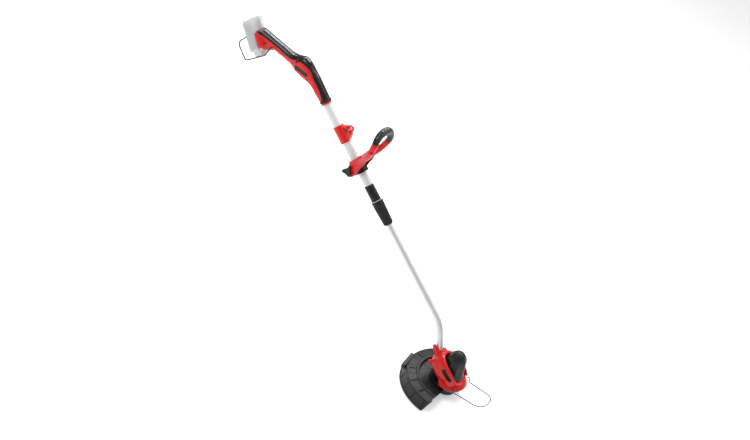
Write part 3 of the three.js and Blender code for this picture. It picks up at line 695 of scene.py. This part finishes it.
def add_battery():
    back, face, top, bottom, lip, wide = -43, -3, 76, -36, -60, 36
    outline = [
        (face, top), (back + 6, top), (back, top - 7), (back, bottom), (-27, bottom - 5),
        (-27, lip + 6), (-21, lip), (-9, lip), (face, lip + 6),
    ]
    case = plate(FOOT, outline, -wide, wide)
    panels = [block(FOOT, (-36, side * wide - 0.9, -22), (-10, side * wide + 0.9, 62)) for side in (-1, 1)]
    back_panel = block(FOOT, (back - 3, -26, -22), (back + 0.9, 26, 58))
    lines = [block(FOOT, (-44, -FAR / 2, z), (back + 0.8, FAR / 2, z + 1.2)) for z in (66, -30)]
    rooms = [
        block(FOOT, (-40, -33.3, -32), (-12.5, 33.3, 72)),
        block(FOOT, (-13, -17, -26), (1, 17, 26)),
        block(FOOT, (-9.4, -17, -26), (1, 17, 100)),
        block(FOOT, (-20.3, -12.3, -70), (-9.7, 12.3, -48)),
    ]
    case = cut(case, *panels, back_panel, *lines, *rooms)
    piece(case, "pack_case", "frosted_pack", "battery", ["battery_case"], bevel=3.2, segments=4)
    cells = None
    for i in range(5):
        place = FOOT.child((-27, 0, -21 + 18 * i), 0)
        cell = joined(
            rod(place, 8.9, (0, -31.5, 0), (0, 31.5, 0)),
            rod(place, 3, (0, -32.5, 0), (0, 32.5, 0), 24))
        cells = joined(cells, cell) if cells else cell
    piece(cells, "pack_cells", "steel", "battery", ["battery_cells"], look="pale_plastic")
    latch = block(FOOT, (-20, -12, -64), (-10, 12, -54))
    ribs = [block(FOOT, (-18.6 + 2.4 * i, -9, -66), (-17.6 + 2.4 * i, 9, -63)) for i in range(4)]
    piece(cut(latch, *ribs), "pack_latch", "black_shell", "latch", ["battery_latch"], bevel=0.8)
    add_terminal()
    add_bumper()


def add_terminal():
    terminal = joined(
        block(FOOT, (-8, -14, -22), (-0.5, 14, 22)),
        block(FOOT, (-1, -15.7, -24.7), (8.8, 15.7, 24.7)))
    slots = [block(FOOT, (-20, y - 0.7, -18), (20, y + 0.7, 12)) for y in (-9, 9)]
    guide = block(FOOT, (-12, -4, -30), (-5.5, 4, 30))
    piece(cut(terminal, guide, *slots), "terminals", "black_shell", "rear_unit", ["terminal_block"])


def add_bumper():
    def side(s):
        return [
            (46, 8 * s, -34), (46, 38 * s, -36), (43, 44 * s, -40), (30, 45 * s, -53), (3, 45 * s, -56),
            (-60, 45 * s, -62), (-67, 45 * s, -58), (-75, 45 * s, -5), (-72, 43 * s, 6), (-66, 36 * s, 12),
        ]

    points = [FOOT.at(*p) for p in side(-1) + side(1)[::-1]]
    wire = swept(rounded(points, 8 * MM), 2.6, 16)
    piece(wire, "bumper_wire", "dark_wire", "rear_unit", ["battery_bumper"], bevel=0.3)


# ------------------------------------------------------------------ shaft

LOWER_RADIUS = 12
LOWER_INSIDE = 10.6
UPPER_RADIUS = 16
UPPER_INSIDE = 14.4
TUBE_BORE = 16.3  # of everything that sits on the upper tube
BEND_RADIUS = 145
BEND_TOP = (-153.9, 257.8)
SHAFT_LEAN = 55.8
END_LEAN = 23.2
TUBE_END = 86


def in_bend(lean):
    """The point of the bend's arc where the tube leans back by so many degrees."""
    a, full = math.radians(lean), math.radians(SHAFT_LEAN)
    x = BEND_TOP[0] + BEND_RADIUS * (math.cos(a) - math.cos(full))
    z = BEND_TOP[1] - BEND_RADIUS * (math.sin(full) - math.sin(a))
    return Vector((x, 0, z)) * MM


def tube_path(extra, steps=28):
    bend = [in_bend(SHAFT_LEAN + (END_LEAN - SHAFT_LEAN) * i / steps) for i in range(steps + 1)]
    return [SHAFT.at(0, 0, 575 + extra)] + bend + [END.at(0, 0, -TUBE_END - extra)]


end_lean = math.radians(END_LEAN)
END = Place(in_bend(END_LEAN), (math.cos(end_lean), 0, math.sin(end_lean)),
            (-math.sin(end_lean), 0, math.cos(end_lean)))


def add_tubes():
    lower = cut(swept(tube_path(0), LOWER_RADIUS, 64), swept(tube_path(2), LOWER_INSIDE, 64))
    piece(lower, "tube_lower", "silver_tube", "lower_unit", ["lower_tube"])
    profile = [(UPPER_INSIDE, 452), (UPPER_RADIUS, 452), (UPPER_RADIUS, 925), (UPPER_INSIDE, 925)]
    piece(turned(SHAFT, profile, 96), "tube_upper", "white_tube", "rear_unit", ["upper_tube"])
    bush = [(12.3, 540), (14.1, 540), (14.1, 572), (12.3, 572)]
    piece(turned(SHAFT, bush, 72), "bush", "pale_plastic", "slider", ["guide_bush"])


def fluted(count, depth, low, high):
    """A shape with round flutes between two heights, for turned()."""

    def shape(angle, r, z):
        if r < 16 or not low < z < high:
            return r
        return r - depth * (0.5 - 0.5 * math.cos(count * angle)) ** 2

    return shape


def add_telescope():
    collar = [(12.7, 416), (16.6, 416), (16.6, 443.4), (18.4, 443.4), (18.4, 449)]
    for i in range(7):
        z = 452 + 7 * i
        collar += [(18.4, z), (18.4, z + 3.4), (17.2, z + 4), (17.2, z + 6.2)]
    collar += [(18.2, 503), (18.2, 506), (17, 508), (TUBE_BORE, 508), (TUBE_BORE, 451.7), (12.7, 451.7)]
    piece(turned(SHAFT, collar, 96), "collar", "black_shell", "rear_unit", ["telescope_collar"], bevel=0.3)
    outer = smooth_through([(15.3, 349), (17.6, 353), (18.4, 366), (20.2, 400), (21.6, 430)], 30, 2)
    sleeve = [(12.5, 349)] + [tuple(p) for p in outer]
    sleeve += [(21.7, 431), (20.6, 431.6), (20.6, 433.4), (22, 434), (22, 441.6), (21, 443), (17, 443)]
    sleeve += [(17, 396), (14.6, 380), (12.5, 380)]
    body = turned(SHAFT, sleeve, 216, fluted(18, 1.5, 355, 430))
    piece(body, "twist_sleeve", "black_shell", "sleeve", ["lock_sleeve"], bevel=0.25)
    # A pale ring at the step between collar and sleeve: a painted highlight along the step's edge, made as
    # a thin part.
    light = turned(SHAFT, [(18.2, 443.6), (20.2, 443.6), (20.2, 445.4), (18.2, 445.4)], 96)
    piece(light, "sleeve_highlight_ring", "pale_plastic", "rear_unit", bevel=0.3)


def add_strap_bracket():
    eye_x, eye_z = 49, 720
    fin = [(0, 682), (20, 683)] + arc(eye_x, eye_z, 11, -50, 90, 14) + [(0, 747)]
    hoop = turned(SHAFT, [(TUBE_BORE, 682), (20, 682), (20, 747), (TUBE_BORE, 747)], 96)
    bracket = joined(hoop, plate(SHAFT, fin, -9, 9))
    pocket = [(22, 706), (36, 713), (36, 727), (22, 735)]
    cuts = [plate(SHAFT, pocket, side * 5.5, side * 12) for side in (-1, 1)]
    cuts += [block(SHAFT, (42, min(4.5 * side, side * 12), 690), (70, max(4.5 * side, side * 12), 740))
             for side in (-1, 1)]
    cuts += [
        rod(SHAFT, TUBE_BORE, (0, 0, 670), (0, 0, 760), 96),
        rod(SHAFT, 6.2, (eye_x, -20, eye_z), (eye_x, 20, eye_z)),
        rod(SHAFT, 2.3, (28, -20, eye_z), (28, 20, eye_z)),
    ]
    whole = cut(bracket, *cuts)
    for side, name in ((-1, "right"), (1, "left")):
        half = side_room(side, 0.12)
        piece(common(twin(whole), half), f"strap_{name}", "red_shell", "rear_unit",
              [f"strap_bracket_{name}"], bevel=0.9, segments=3)
    bpy.data.objects.remove(whole)
    add_screw("strap_bolt", SHAFT.child((28, 0, eye_z), 0), -6.4, "strap_screw", 6.0, "dark_wire")


# ------------------------------------------------------------------ loop handle

PIVOT_X, PIVOT_Z = -24, 588
BOLT_HOLE = 3.3


def add_clamp():
    bore = rod(SHAFT, TUBE_BORE, (0, 0, 540), (0, 0, 650), 96)
    flat_sides = block(SHAFT, (-FAR, -26.1, 0), (FAR, 26.1, 1000))
    barrel = cut(rod(SHAFT, 27, (0, 0, 560), (0, 0, 614), 96), bore)
    barrel = common(barrel, flat_sides)
    ahead = block(SHAFT, (0.4, -FAR, 0), (FAR, FAR, 1000))
    behind = block(SHAFT, (-FAR, -FAR, 0), (-0.4, FAR, 1000))
    ribs = [block(SHAFT, (25.6, -30, z), (30, 30, z + 2.4)) for z in (566, 572, 598, 604)]
    front = cut(common(twin(barrel), ahead), *ribs)
    piece(front, "clamp_jaw", "black_shell", "rear_unit", ["clamp_front"], bevel=1.8, segments=3)
    lug = plate(SHAFT, [(-36, 574), (-35, 592), (-26, 601), (-12, 608), (-12, 568)], -24, 24)
    lug = cut(lug, rod(SHAFT, TUBE_BORE, (0, 0, 540), (0, 0, 650), 96))
    bolt_way = rod(SHAFT, BOLT_HOLE, (PIVOT_X, -60, PIVOT_Z), (PIVOT_X, 60, PIVOT_Z))
    rear = cut(joined(common(barrel, behind), lug), bolt_way)
    piece(rear, "clamp_saddle", "red_shell", "rear_unit", ["clamp_rear"], bevel=1.6, segments=3)


def add_loop():
    cheek = smooth_through([
        (-38, 576), (-32, 589), (-10, 607), (24, 616), (62, 617), (67, 604), (56, 589), (24, 577),
        (-6, 564), (-30, 563), (-38, 576),
    ], 90, measured=2)[:-1]
    parts = [plate(SHAFT, [tuple(p) for p in cheek], 30 * s - 4, 30 * s + 4) for s in (-1, 1)]
    parts.append(plate(SHAFT, [(40, 591), (40, 611), (60, 612), (66, 602), (58, 591)], -30, 30))
    for s in (-1, 1):
        arm = [(30, 30 * s, 599), (66, 38 * s, 604), (102, 51 * s, 612), (129, 56.4 * s, 620.3)]
        path = route(SHAFT, arm, 30)
        parts.append(swept(path, [6.5 + 5.3 * min(1, i / 14) for i in range(30)], 32))
    parts.append(swept(loop_path()[:NEAR_ARM + 2], 12.3, 32))
    frame_piece = moulded(parts, 1.4, 8)
    lock_room = block(SHAFT, (16, -26.3, 555), (39.9, 26.3, 640))
    around_clamp = block(SHAFT, (-60, -26.3, 555), (17, 26.3, 640))
    bolt_way = rod(SHAFT, BOLT_HOLE, (PIVOT_X, -60, PIVOT_Z), (PIVOT_X, 60, PIVOT_Z))
    nut_room = rod(SHAFT, 7, (PIVOT_X, 30, PIVOT_Z), (PIVOT_X, 60, PIVOT_Z), 6)
    frame_piece = cut(frame_piece, lock_room, around_clamp, bolt_way, nut_room)
    piece(frame_piece, "handle_loop", "red_shell", "loop", ["loop_frame"], bevel=0)
    add_loop_grip()
    nut = cut(rod(SHAFT, 6.6, (PIVOT_X, 30.4, PIVOT_Z), (PIVOT_X, 35.4, PIVOT_Z), 6),
              rod(SHAFT, BOLT_HOLE, (PIVOT_X, 20, PIVOT_Z), (PIVOT_X, 50, PIVOT_Z)))
    piece(nut, "hex_nut", "steel", "loop", ["clamp_nut"])
    add_knob()


LOOP_COUNT = 96
NEAR_ARM = 13  # the red arm reaches further up the loop on the right


def loop_path():
    half = [(131.5, 57, 621.5), (148, 54.5, 632), (164, 42, 648), (171.5, 21, 656.5)]
    points = [(x, -y, z) for x, y, z in half] + [(173, 0, 658.5)] + half[::-1]
    return route(SHAFT, points, LOOP_COUNT)


def add_loop_grip():
    path = loop_path()[NEAR_ARM:]
    count = len(path)
    radii = []
    for i in range(count):
        end = min(i, count - 1 - i)
        collar = 12.1 if end in (3, 4, 5) else 12.4 + 3 * end / 48
        ridge = 0.4 * math.sin(TAU * i / 6) if 14 < end else 0
        radii.append(min(collar, 11.6 + 0.8 * end) + ridge)
    piece(swept(path, radii, 40), "handle_grip", "soft_grip", "loop", ["loop_grip"], bevel=0)


def add_knob():
    place = SHAFT.child((PIVOT_X, 0, PIVOT_Z), 0)
    outline = []
    for i in range(96):
        a = TAU * i / 96
        r = 15.4 + 5.0 * math.cos(3 * (a - 0.5)) + 0.9 * math.cos(6 * (a - 0.5))
        outline.append((r * math.cos(a), r * math.sin(a)))
    star = plate(place, outline, -47, -36)
    hub = rod(place, 11.5, (0, -37, 0), (0, -34, 0))
    cap = rod(place, 7, (0, -48, 0), (0, -45.6, 0))
    room = rod(place, BOLT_HOLE, (0, -44, 0), (0, -30, 0))
    knob = cut(joined(star, hub), cap, room)
    piece(knob, "knob", "black_shell", "knob", ["star_knob"], bevel=1.7, segments=4)
    bolt = rod(place, 3, (0, -43.6, 0), (0, 38, 0))
    piece(bolt, "bolt", "steel", "knob", ["clamp_bolt"])


# ------------------------------------------------------------------ motor head

DOME_RADIUS = 48


def cover_outline(grow):
    points = [(74.5, 50), (68.4, 61), (61, 71), (51, 77)]
    return [(r + 0.7 * grow, z + 0.7 * grow) for r, z in points]


def dome_outline(grow):
    points = [(48, 80), (45.4, 96), (28, 165), (20, 175), (10, 180)]
    return [(r + grow, z + (grow if z > 100 else 0)) for r, z in points] + [(0, 181 + grow)]


ARM_TILT = 0.5  # radians that an arm's sections lean forward
ARM_LEAN = 0.2  # how far they lean in towards the dome, for each unit of height
LEFT_DROP = 17  # the left arm sits lower at the front, so that the dome hides most of it


def yoke_arm(side):
    drop = LEFT_DROP if side > 0 else 0

    def station(x, y, z, height, width, turn):
        a = math.radians(turn)
        return [x, y * side, z,
                height * math.sin(ARM_TILT), -ARM_LEAN * height * side, height * math.cos(ARM_TILT),
                -width * math.sin(a), width * math.cos(a) * side, 0, 4]

    return loft(WORLD, [
        station(-66, 6, 121, 23, 13, 60), station(-52, 36, 119 - drop / 2, 27, 8, 45),
        station(-26, 52, 111 - drop, 27, 6, 20), station(8, 58, 97 - drop, 24, 6, -8),
        station(40, 51, 77 - drop, 16, 6, -34),
    ], 40)


def head_badge(side, radius, depth, out):
    drop = LEFT_DROP if side > 0 else 0
    return plate(WORLD, capsule((-10, 113 - drop), (25, 95 - drop), radius), side * depth, side * out)


def add_yoke():
    parts = [rod(END, 20, (0, 0, -108), (0, 0, -62)), yoke_arm(-1), yoke_arm(1)]
    for s in (-1, 1):
        parts.append(rod(WORLD, 15, (-54, 32 * s, 108), (-84, 43 * s, 94), 24, 5))
    parts.append(rod(WORLD, 14, (-68, -14, 122), (-97, -21, 154), 24, 7))
    parts.append(rod(WORLD, 12, (-62, 12, 122), (-66, 18, 140), 24, 7))
    yoke = moulded(parts, 1.3, 5)
    dome = turned(WORLD, [(0, 20), (75, 20)] + cover_outline(0.8) + dome_outline(1.8), 72)
    socket = rod(END, 12.4, (0, 0, -TUBE_END - 1), (0, 0, -20), 64)
    lead_way = rod(END, 6, (0, 0, -130), (0, 0, -80))
    pockets = [head_badge(s, 8.4, 60.6, 80) for s in (-1, 1)]
    yoke = cut(yoke, dome, socket, lead_way, *pockets)
    piece(yoke, "fork", "red_shell", "lower_unit", ["yoke"], bevel=0)
    for s, name in ((-1, "right"), (1, "left")):
        badge = head_badge(s, 7.4, 57, 62.2)
        piece(badge, f"fork_badge_{name}", "black_shell", "lower_unit", [f"head_badge_{name}"], bevel=0.8,
              look="black_gloss")


def add_covers():
    hole = DOME_RADIUS + 0.6
    outside = [(70.4, 53), (71.6, 53.4), (72, 55)] + cover_outline(0)[1:]
    cover = turned(WORLD, outside + [
        (hole, 77), (hole, 73), (58, 69), (64, 62), (66, 53)], 144)
    hinge_way = rod(WORLD, 2, (52, -80, 66), (52, 80, 66))
    rear_opening = plate(WORLD, [(-90, 30), (6, 30), (2, 54), (-16, 70), (-90, 70)], -90, 90)
    cover = cut(cover, hinge_way, rear_opening)
    piece(cover, "ring_cover", "red_shell", "lower_unit", ["head_cover"], bevel=1.4, segments=3)
    add_dome()


def add_dome():
    def facets(angle, r, z):
        """Eight flats that fade out towards the foot of the dome."""
        if z < 82 or r < 12:
            return r
        step = TAU / 8
        off = (angle + 0.1) % step - step / 2
        fade = min(1, (z - 82) / 30)
        flat = math.cos(step / 2) / math.cos(off)
        return r * (1 - fade * (1 - flat))

    outside = smooth_through(dome_outline(0)[1:], 34, measured=2)
    outside = [(48, 47), (48, 80)] + [(max(0, r), z) for r, z in outside]
    inside = [(r, z) for r, z in dome_outline(-2.5)][::-1] + [(45.5, 47)]
    dome = turned(WORLD, outside + inside, 120, facets)
    seam = block(WORLD, (-70, -0.4, 82), (20, 0.4, 200))
    core = turned(WORLD, [(0, 40), (44, 40), (44, 90), (24.4, 163), (14, 174), (0, 176)], 72)
    vents = []
    for s in (-1, 1):
        for i in range(5):
            low = 96 + 11 * i
            vents.append(block(WORLD, (-16, min(20 * s, 60 * s), low), (-2, max(20 * s, 60 * s), low + 3)))
    dome = cut(dome, cut(seam, core), *vents)
    piece(dome, "dome", "black_shell", "lower_unit", ["motor_cap"], bevel=0.5)


def add_motor_plate():
    profile = [
        (8, 41.4), (64, 41.4), (66.5, 42.6), (70.8, 50.4), (70.4, 52.4), (62, 52.4), (60, 46.4), (8, 46.4),
    ]
    piece(turned(WORLD, profile, 144), "plate", "black_shell", "lower_unit", ["motor_plate"], bevel=0.5,
          look="black_gloss")


# ------------------------------------------------------------------ guard

GUARD_CENTRE = (12, 0)
GUARD_OUTER = 182
GUARD_SHOULDER = 166
GUARD_STEP = 122
GUARD_HEIGHT = 42
GUARD_WEB = 39.6
GUARD_END = [(9, -10), (12, 2), (22, GUARD_HEIGHT), (24, 60)]
PANEL = 17  # degrees between panel joints
RING_INSIDE = 47.2  # height of the flat ring beside the inner bead
RING_SLOPE = 0.18
GUARD_PLACE = Place((GUARD_CENTRE[0] * MM, 0, 0), (1, 0, 0), (0, 0, 1))


def guard_bowl():
    """The whole bowl: a ribbed skirt, a bead at the shoulder, a flat ring, a second bead and the web."""
    outside = [
        (GUARD_OUTER - 0.2, 2), (GUARD_OUTER, 3), (GUARD_OUTER - 0.6, 6.5), (GUARD_OUTER - 2.6, 7.5),
        (GUARD_SHOULDER + 4.2, 35.6), (GUARD_SHOULDER + 4.6, 39.0), (GUARD_SHOULDER + 2.6, 42.4),
        (GUARD_SHOULDER - 0.6, 43.4), (GUARD_SHOULDER - 3.2, 41.8),
        (GUARD_STEP + 11, 47.2), (GUARD_STEP + 9, 50.2), (GUARD_STEP + 5, 51.6),
        (GUARD_STEP + 1, 50.6), (GUARD_STEP - 1, 47), (GUARD_STEP - 4, GUARD_WEB), (20, GUARD_WEB),
    ]
    inside = [
        (20, GUARD_WEB - 3), (GUARD_STEP - 1, GUARD_WEB - 3), (GUARD_STEP + 5, 42.2),
        (GUARD_SHOULDER - 4, 36.6), (GUARD_SHOULDER - 0.5, 36), (GUARD_OUTER - 3.4, 2),
    ]

    def panels(angle, r, z):
        """Draws the skirt in a little at each panel joint."""
        if r < GUARD_SHOULDER or not 7 < z < 38:
            return r
        step = math.radians(PANEL)
        off = abs((angle + math.radians(4)) % step - step / 2)
        return r - (2.2 if off > step / 2 - 0.011 else 0.0)

    return turned(GUARD_PLACE, outside + inside, 720, panels)


def radial_groove(degrees, low, high, width, depth):
    """A cutter for a groove along a radius of the guard's flat ring, which slopes inwards and up."""
    a = math.radians(degrees)
    out = Vector((math.cos(a), math.sin(a)))
    side = Vector((-out.y, out.x)) * width / 2
    corners = [out * low - side, out * high - side, out * high + side, out * low + side]
    floor = [RING_INSIDE - (r - GUARD_STEP - 11) * RING_SLOPE - depth for r in (low, high, high, low)]
    bottom = [GUARD_PLACE.at(*c, z) for c, z in zip(corners, floor)]
    return skin([bottom, [GUARD_PLACE.at(*c, 60) for c in corners]])


def end_wall():
    """The wall across the near end of the channel, which carries the line cutter."""
    outline = [(-181, 2.5), (-149, 2.5), (-144, 40), (-166, 41)]

    def row(back):
        return [WORLD.at(12.4 + (z - 2) * 0.25 + (y + 181) * 0.1 - back, y, z) for y, z in outline]

    return skin([row(0.4), row(3.6)])


def add_guard():
    bowl = cut(guard_bowl(), rod(WORLD, 30, (0, 0, 30), (0, 0, 60)))
    far_end = block(WORLD, (-25, 62, -10), (FAR, FAR, 60))
    room = plate(WORLD, GUARD_END + [(-FAR, 60), (-FAR, -10)], -FAR, FAR)
    arc_piece = joined(common(cut(bowl, far_end), room), end_wall())
    slots = []
    for degrees in (174, 207, 232, 254):
        slots.append(radial_groove(degrees, GUARD_STEP + 12, GUARD_SHOULDER - 6, 5.0, 2.8))
    for k in range(10):
        degrees = 99 + PANEL * k
        slots.append(radial_groove(degrees, GUARD_STEP + 12, GUARD_SHOULDER - 4, 1.6, 1.0))
    notch = block(WORLD, (0, -166, -5), (40, -158, 11))
    tab_at = math.radians(194)
    tab_place = GUARD_PLACE.child((172 * math.cos(tab_at), 172 * math.sin(tab_at), 36), 0)
    turn = math.radians(187)
    tab_place.x = Vector((math.cos(turn), math.sin(turn), 0))
    tab_place.y = Vector((-math.sin(turn), math.cos(turn), 0))
    tab = block(tab_place, (-7, -40, -10), (7, 40, 10))
    windows = [block(tab_place, (4.6, y, -6), (12, y + 14, 6)) for y in (-35, -16, 3, 22)]
    arc_piece = joined(cut(arc_piece, *slots, notch), cut(tab, *windows))
    piece(arc_piece, "guard_skirt", "black_shell", "lower_unit", ["guard"], bevel=0.5)
    add_cutter()


def add_cutter():
    lean = math.atan2(GUARD_END[2][0] - GUARD_END[1][0], GUARD_HEIGHT - 2)
    place = WORLD.child((18.9, 4 - GUARD_SHOULDER, 20), math.degrees(lean))
    blade = block(place, (-0.75, -8.5, -13), (0.75, 8.5, 13))
    holes = [rod(place, 1.8, (-5, 0, z), (5, 0, z), 24) for z in (-7, 7)]
    piece(cut(blade, *holes), "cutter", "steel", "lower_unit", ["line_cutter"], bevel=0.3)


# ------------------------------------------------------------------ spool and wire


def add_spool():
    drum = [(2.6, 31), (43, 31), (43, 9), (45.8, 9), (46, 12), (46, 29), (45, 32), (42, 34.5), (7, 34.5),
            (7, 40.6), (2.6, 40.6)]

    def ribs(angle, r, z):
        if r < 45 or z < 11:
            return r
        return r - 0.9 * (0.5 - 0.5 * math.cos(24 * angle)) ** 3

    body = turned(WORLD, drum, 240, ribs)
    eyelets = rod(WORLD, 1.9, (-80, 0, 20), (80, 0, 20), 24)
    piece(cut(body, eyelets), "spool_drum", "black_shell", "spool_unit", ["spool_housing"])
    cap = [(0, 0), (17, 0), (19, 2.6), (42, 3.6), (44.5, 5.5), (44.5, 8.6), (0, 8.6)]
    cap = turned(WORLD, cap, 120)
    hollows = []
    for i in range(6):
        a = TAU * i / 6
        x, y = 31 * math.cos(a), 31 * math.sin(a)
        hollows.append(rod(WORLD, 6, (x, y, -1), (x, y, 4.4), 32))
    piece(cut(cap, *hollows), "spool_lid", "black_shell", "spool_unit", ["spool_cap"])
    reel = [(8, 10), (40, 10), (40, 12), (35, 13), (35, 27), (40, 28), (40, 30), (8, 30)]
    piece(turned(WORLD, reel, 96), "reel", "pale_plastic", "spool_unit", ["spool"])
    for s, n in ((1, 1), (-1, 2)):
        ends = [(41 * s, 0, 20), (50 * s, 0, 20), (58 * s, -0.3, 20.1), (66 * s, -0.6, 20)]
        stub = swept(route(WORLD, ends, 24), 1.1, 16)
        piece(stub, f"line_{n}", "line", "spool_unit", [f"cutting_line_{n}"], bevel=0.2)


def add_flower_guard():
    reach = 177
    x0, z0 = 52, 66

    def side(s):
        return [
            (x0, 45.5 * s, z0), (x0, 54 * s, z0), (x0 + 3, 57.5 * s, z0 - 2), (x0 + 9, 55 * s, z0 - 12),
            (x0 + 15, 50 * s, 52), (104, 48.5 * s, 55), (142, 47 * s, 59), (reach - 18, 43 * s, 61),
            (reach - 6, 31 * s, 63), (reach - 1, 15 * s, 64),
        ]

    points = [WORLD.at(*p) for p in side(-1) + [(reach, 0, 64)] + side(1)[::-1]]
    wire = swept(rounded(points, 5 * MM), 1.9, 16)
    piece(wire, "stem_guard", "steel", "guide", ["flower_guard"], bevel=0.2, look="dark_wire")


# ------------------------------------------------------------------ what stays from the CAD


def dress_kept_nodes():
    """Gives each CAD node that still shows its slot's finish."""
    slots = {row["node"]: row["material_slot"] for row in frame["record"]["subparts"]}
    for name, obj in frame["nodes"].items():
        obj.data.materials.clear()
        obj.data.materials.append(LOOKS[slots[name]])


# ------------------------------------------------------------------ studio


def add_light(name, at, size, power, look=(-0.5, 0, 0.4)):
    data = bpy.data.lights.new(name, "AREA")
    data.shape = "RECTANGLE"
    data.size, data.size_y = size
    data.energy = power
    light = bpy.data.objects.new(name, data)
    bpy.context.scene.collection.objects.link(light)
    light.location = at
    light.rotation_euler = (Vector(at) - Vector(look)).to_track_quat("Z", "Y").to_euler()


def add_studio():
    floor_mesh = bpy.data.meshes.new("floor")
    reach = 14
    corners = [(-reach, -reach, 0), (reach, -reach, 0), (reach, reach, 0), (-reach, reach, 0)]
    floor_mesh.from_pydata(corners, [], [(0, 1, 2, 3)])
    floor = bpy.data.objects.new("floor", floor_mesh)
    bpy.context.scene.collection.objects.link(floor)
    floor.location.z = -0.0005
    nodes = Nodes("studio_floor")
    tone = nodes.span(nodes.noise(0.8, 2), 0.93, 0.95)
    nodes.put(nodes.shader.inputs["Base Color"], tone)
    nodes.shader.inputs["Roughness"].default_value = 0.9
    nodes.shader.inputs["Emission Color"].default_value = (1, 1, 1, 1)
    nodes.shader.inputs["Emission Strength"].default_value = 0.42
    floor_mesh.materials.append(nodes.material)

    world = bpy.data.worlds.new("studio")
    world.use_nodes = True
    world.node_tree.nodes["Background"].inputs["Color"].default_value = (1, 1, 1, 1)
    world.node_tree.nodes["Background"].inputs["Strength"].default_value = 0.32
    bpy.context.scene.world = world
    bpy.context.scene.view_settings.view_transform = "Standard"
    add_light("key", (-1.2, -1.4, 3.6), (1.6, 1.6), 56)
    add_light("rim", (1.8, 1.6, 2.8), (0.7, 2.6), 26)
    add_light("strip", (-1.4, 2.0, 2.5), (3.0, 0.35), 80, look=(-1, 0, 0.8))


# ------------------------------------------------------------------ the whole object

add_housing()
add_controls()
add_battery()
add_tubes()
add_telescope()
add_strap_bracket()
add_clamp()
add_loop()
add_yoke()
add_covers()
add_motor_plate()
add_guard()
add_spool()
add_flower_guard()
dress_kept_nodes()
add_studio()
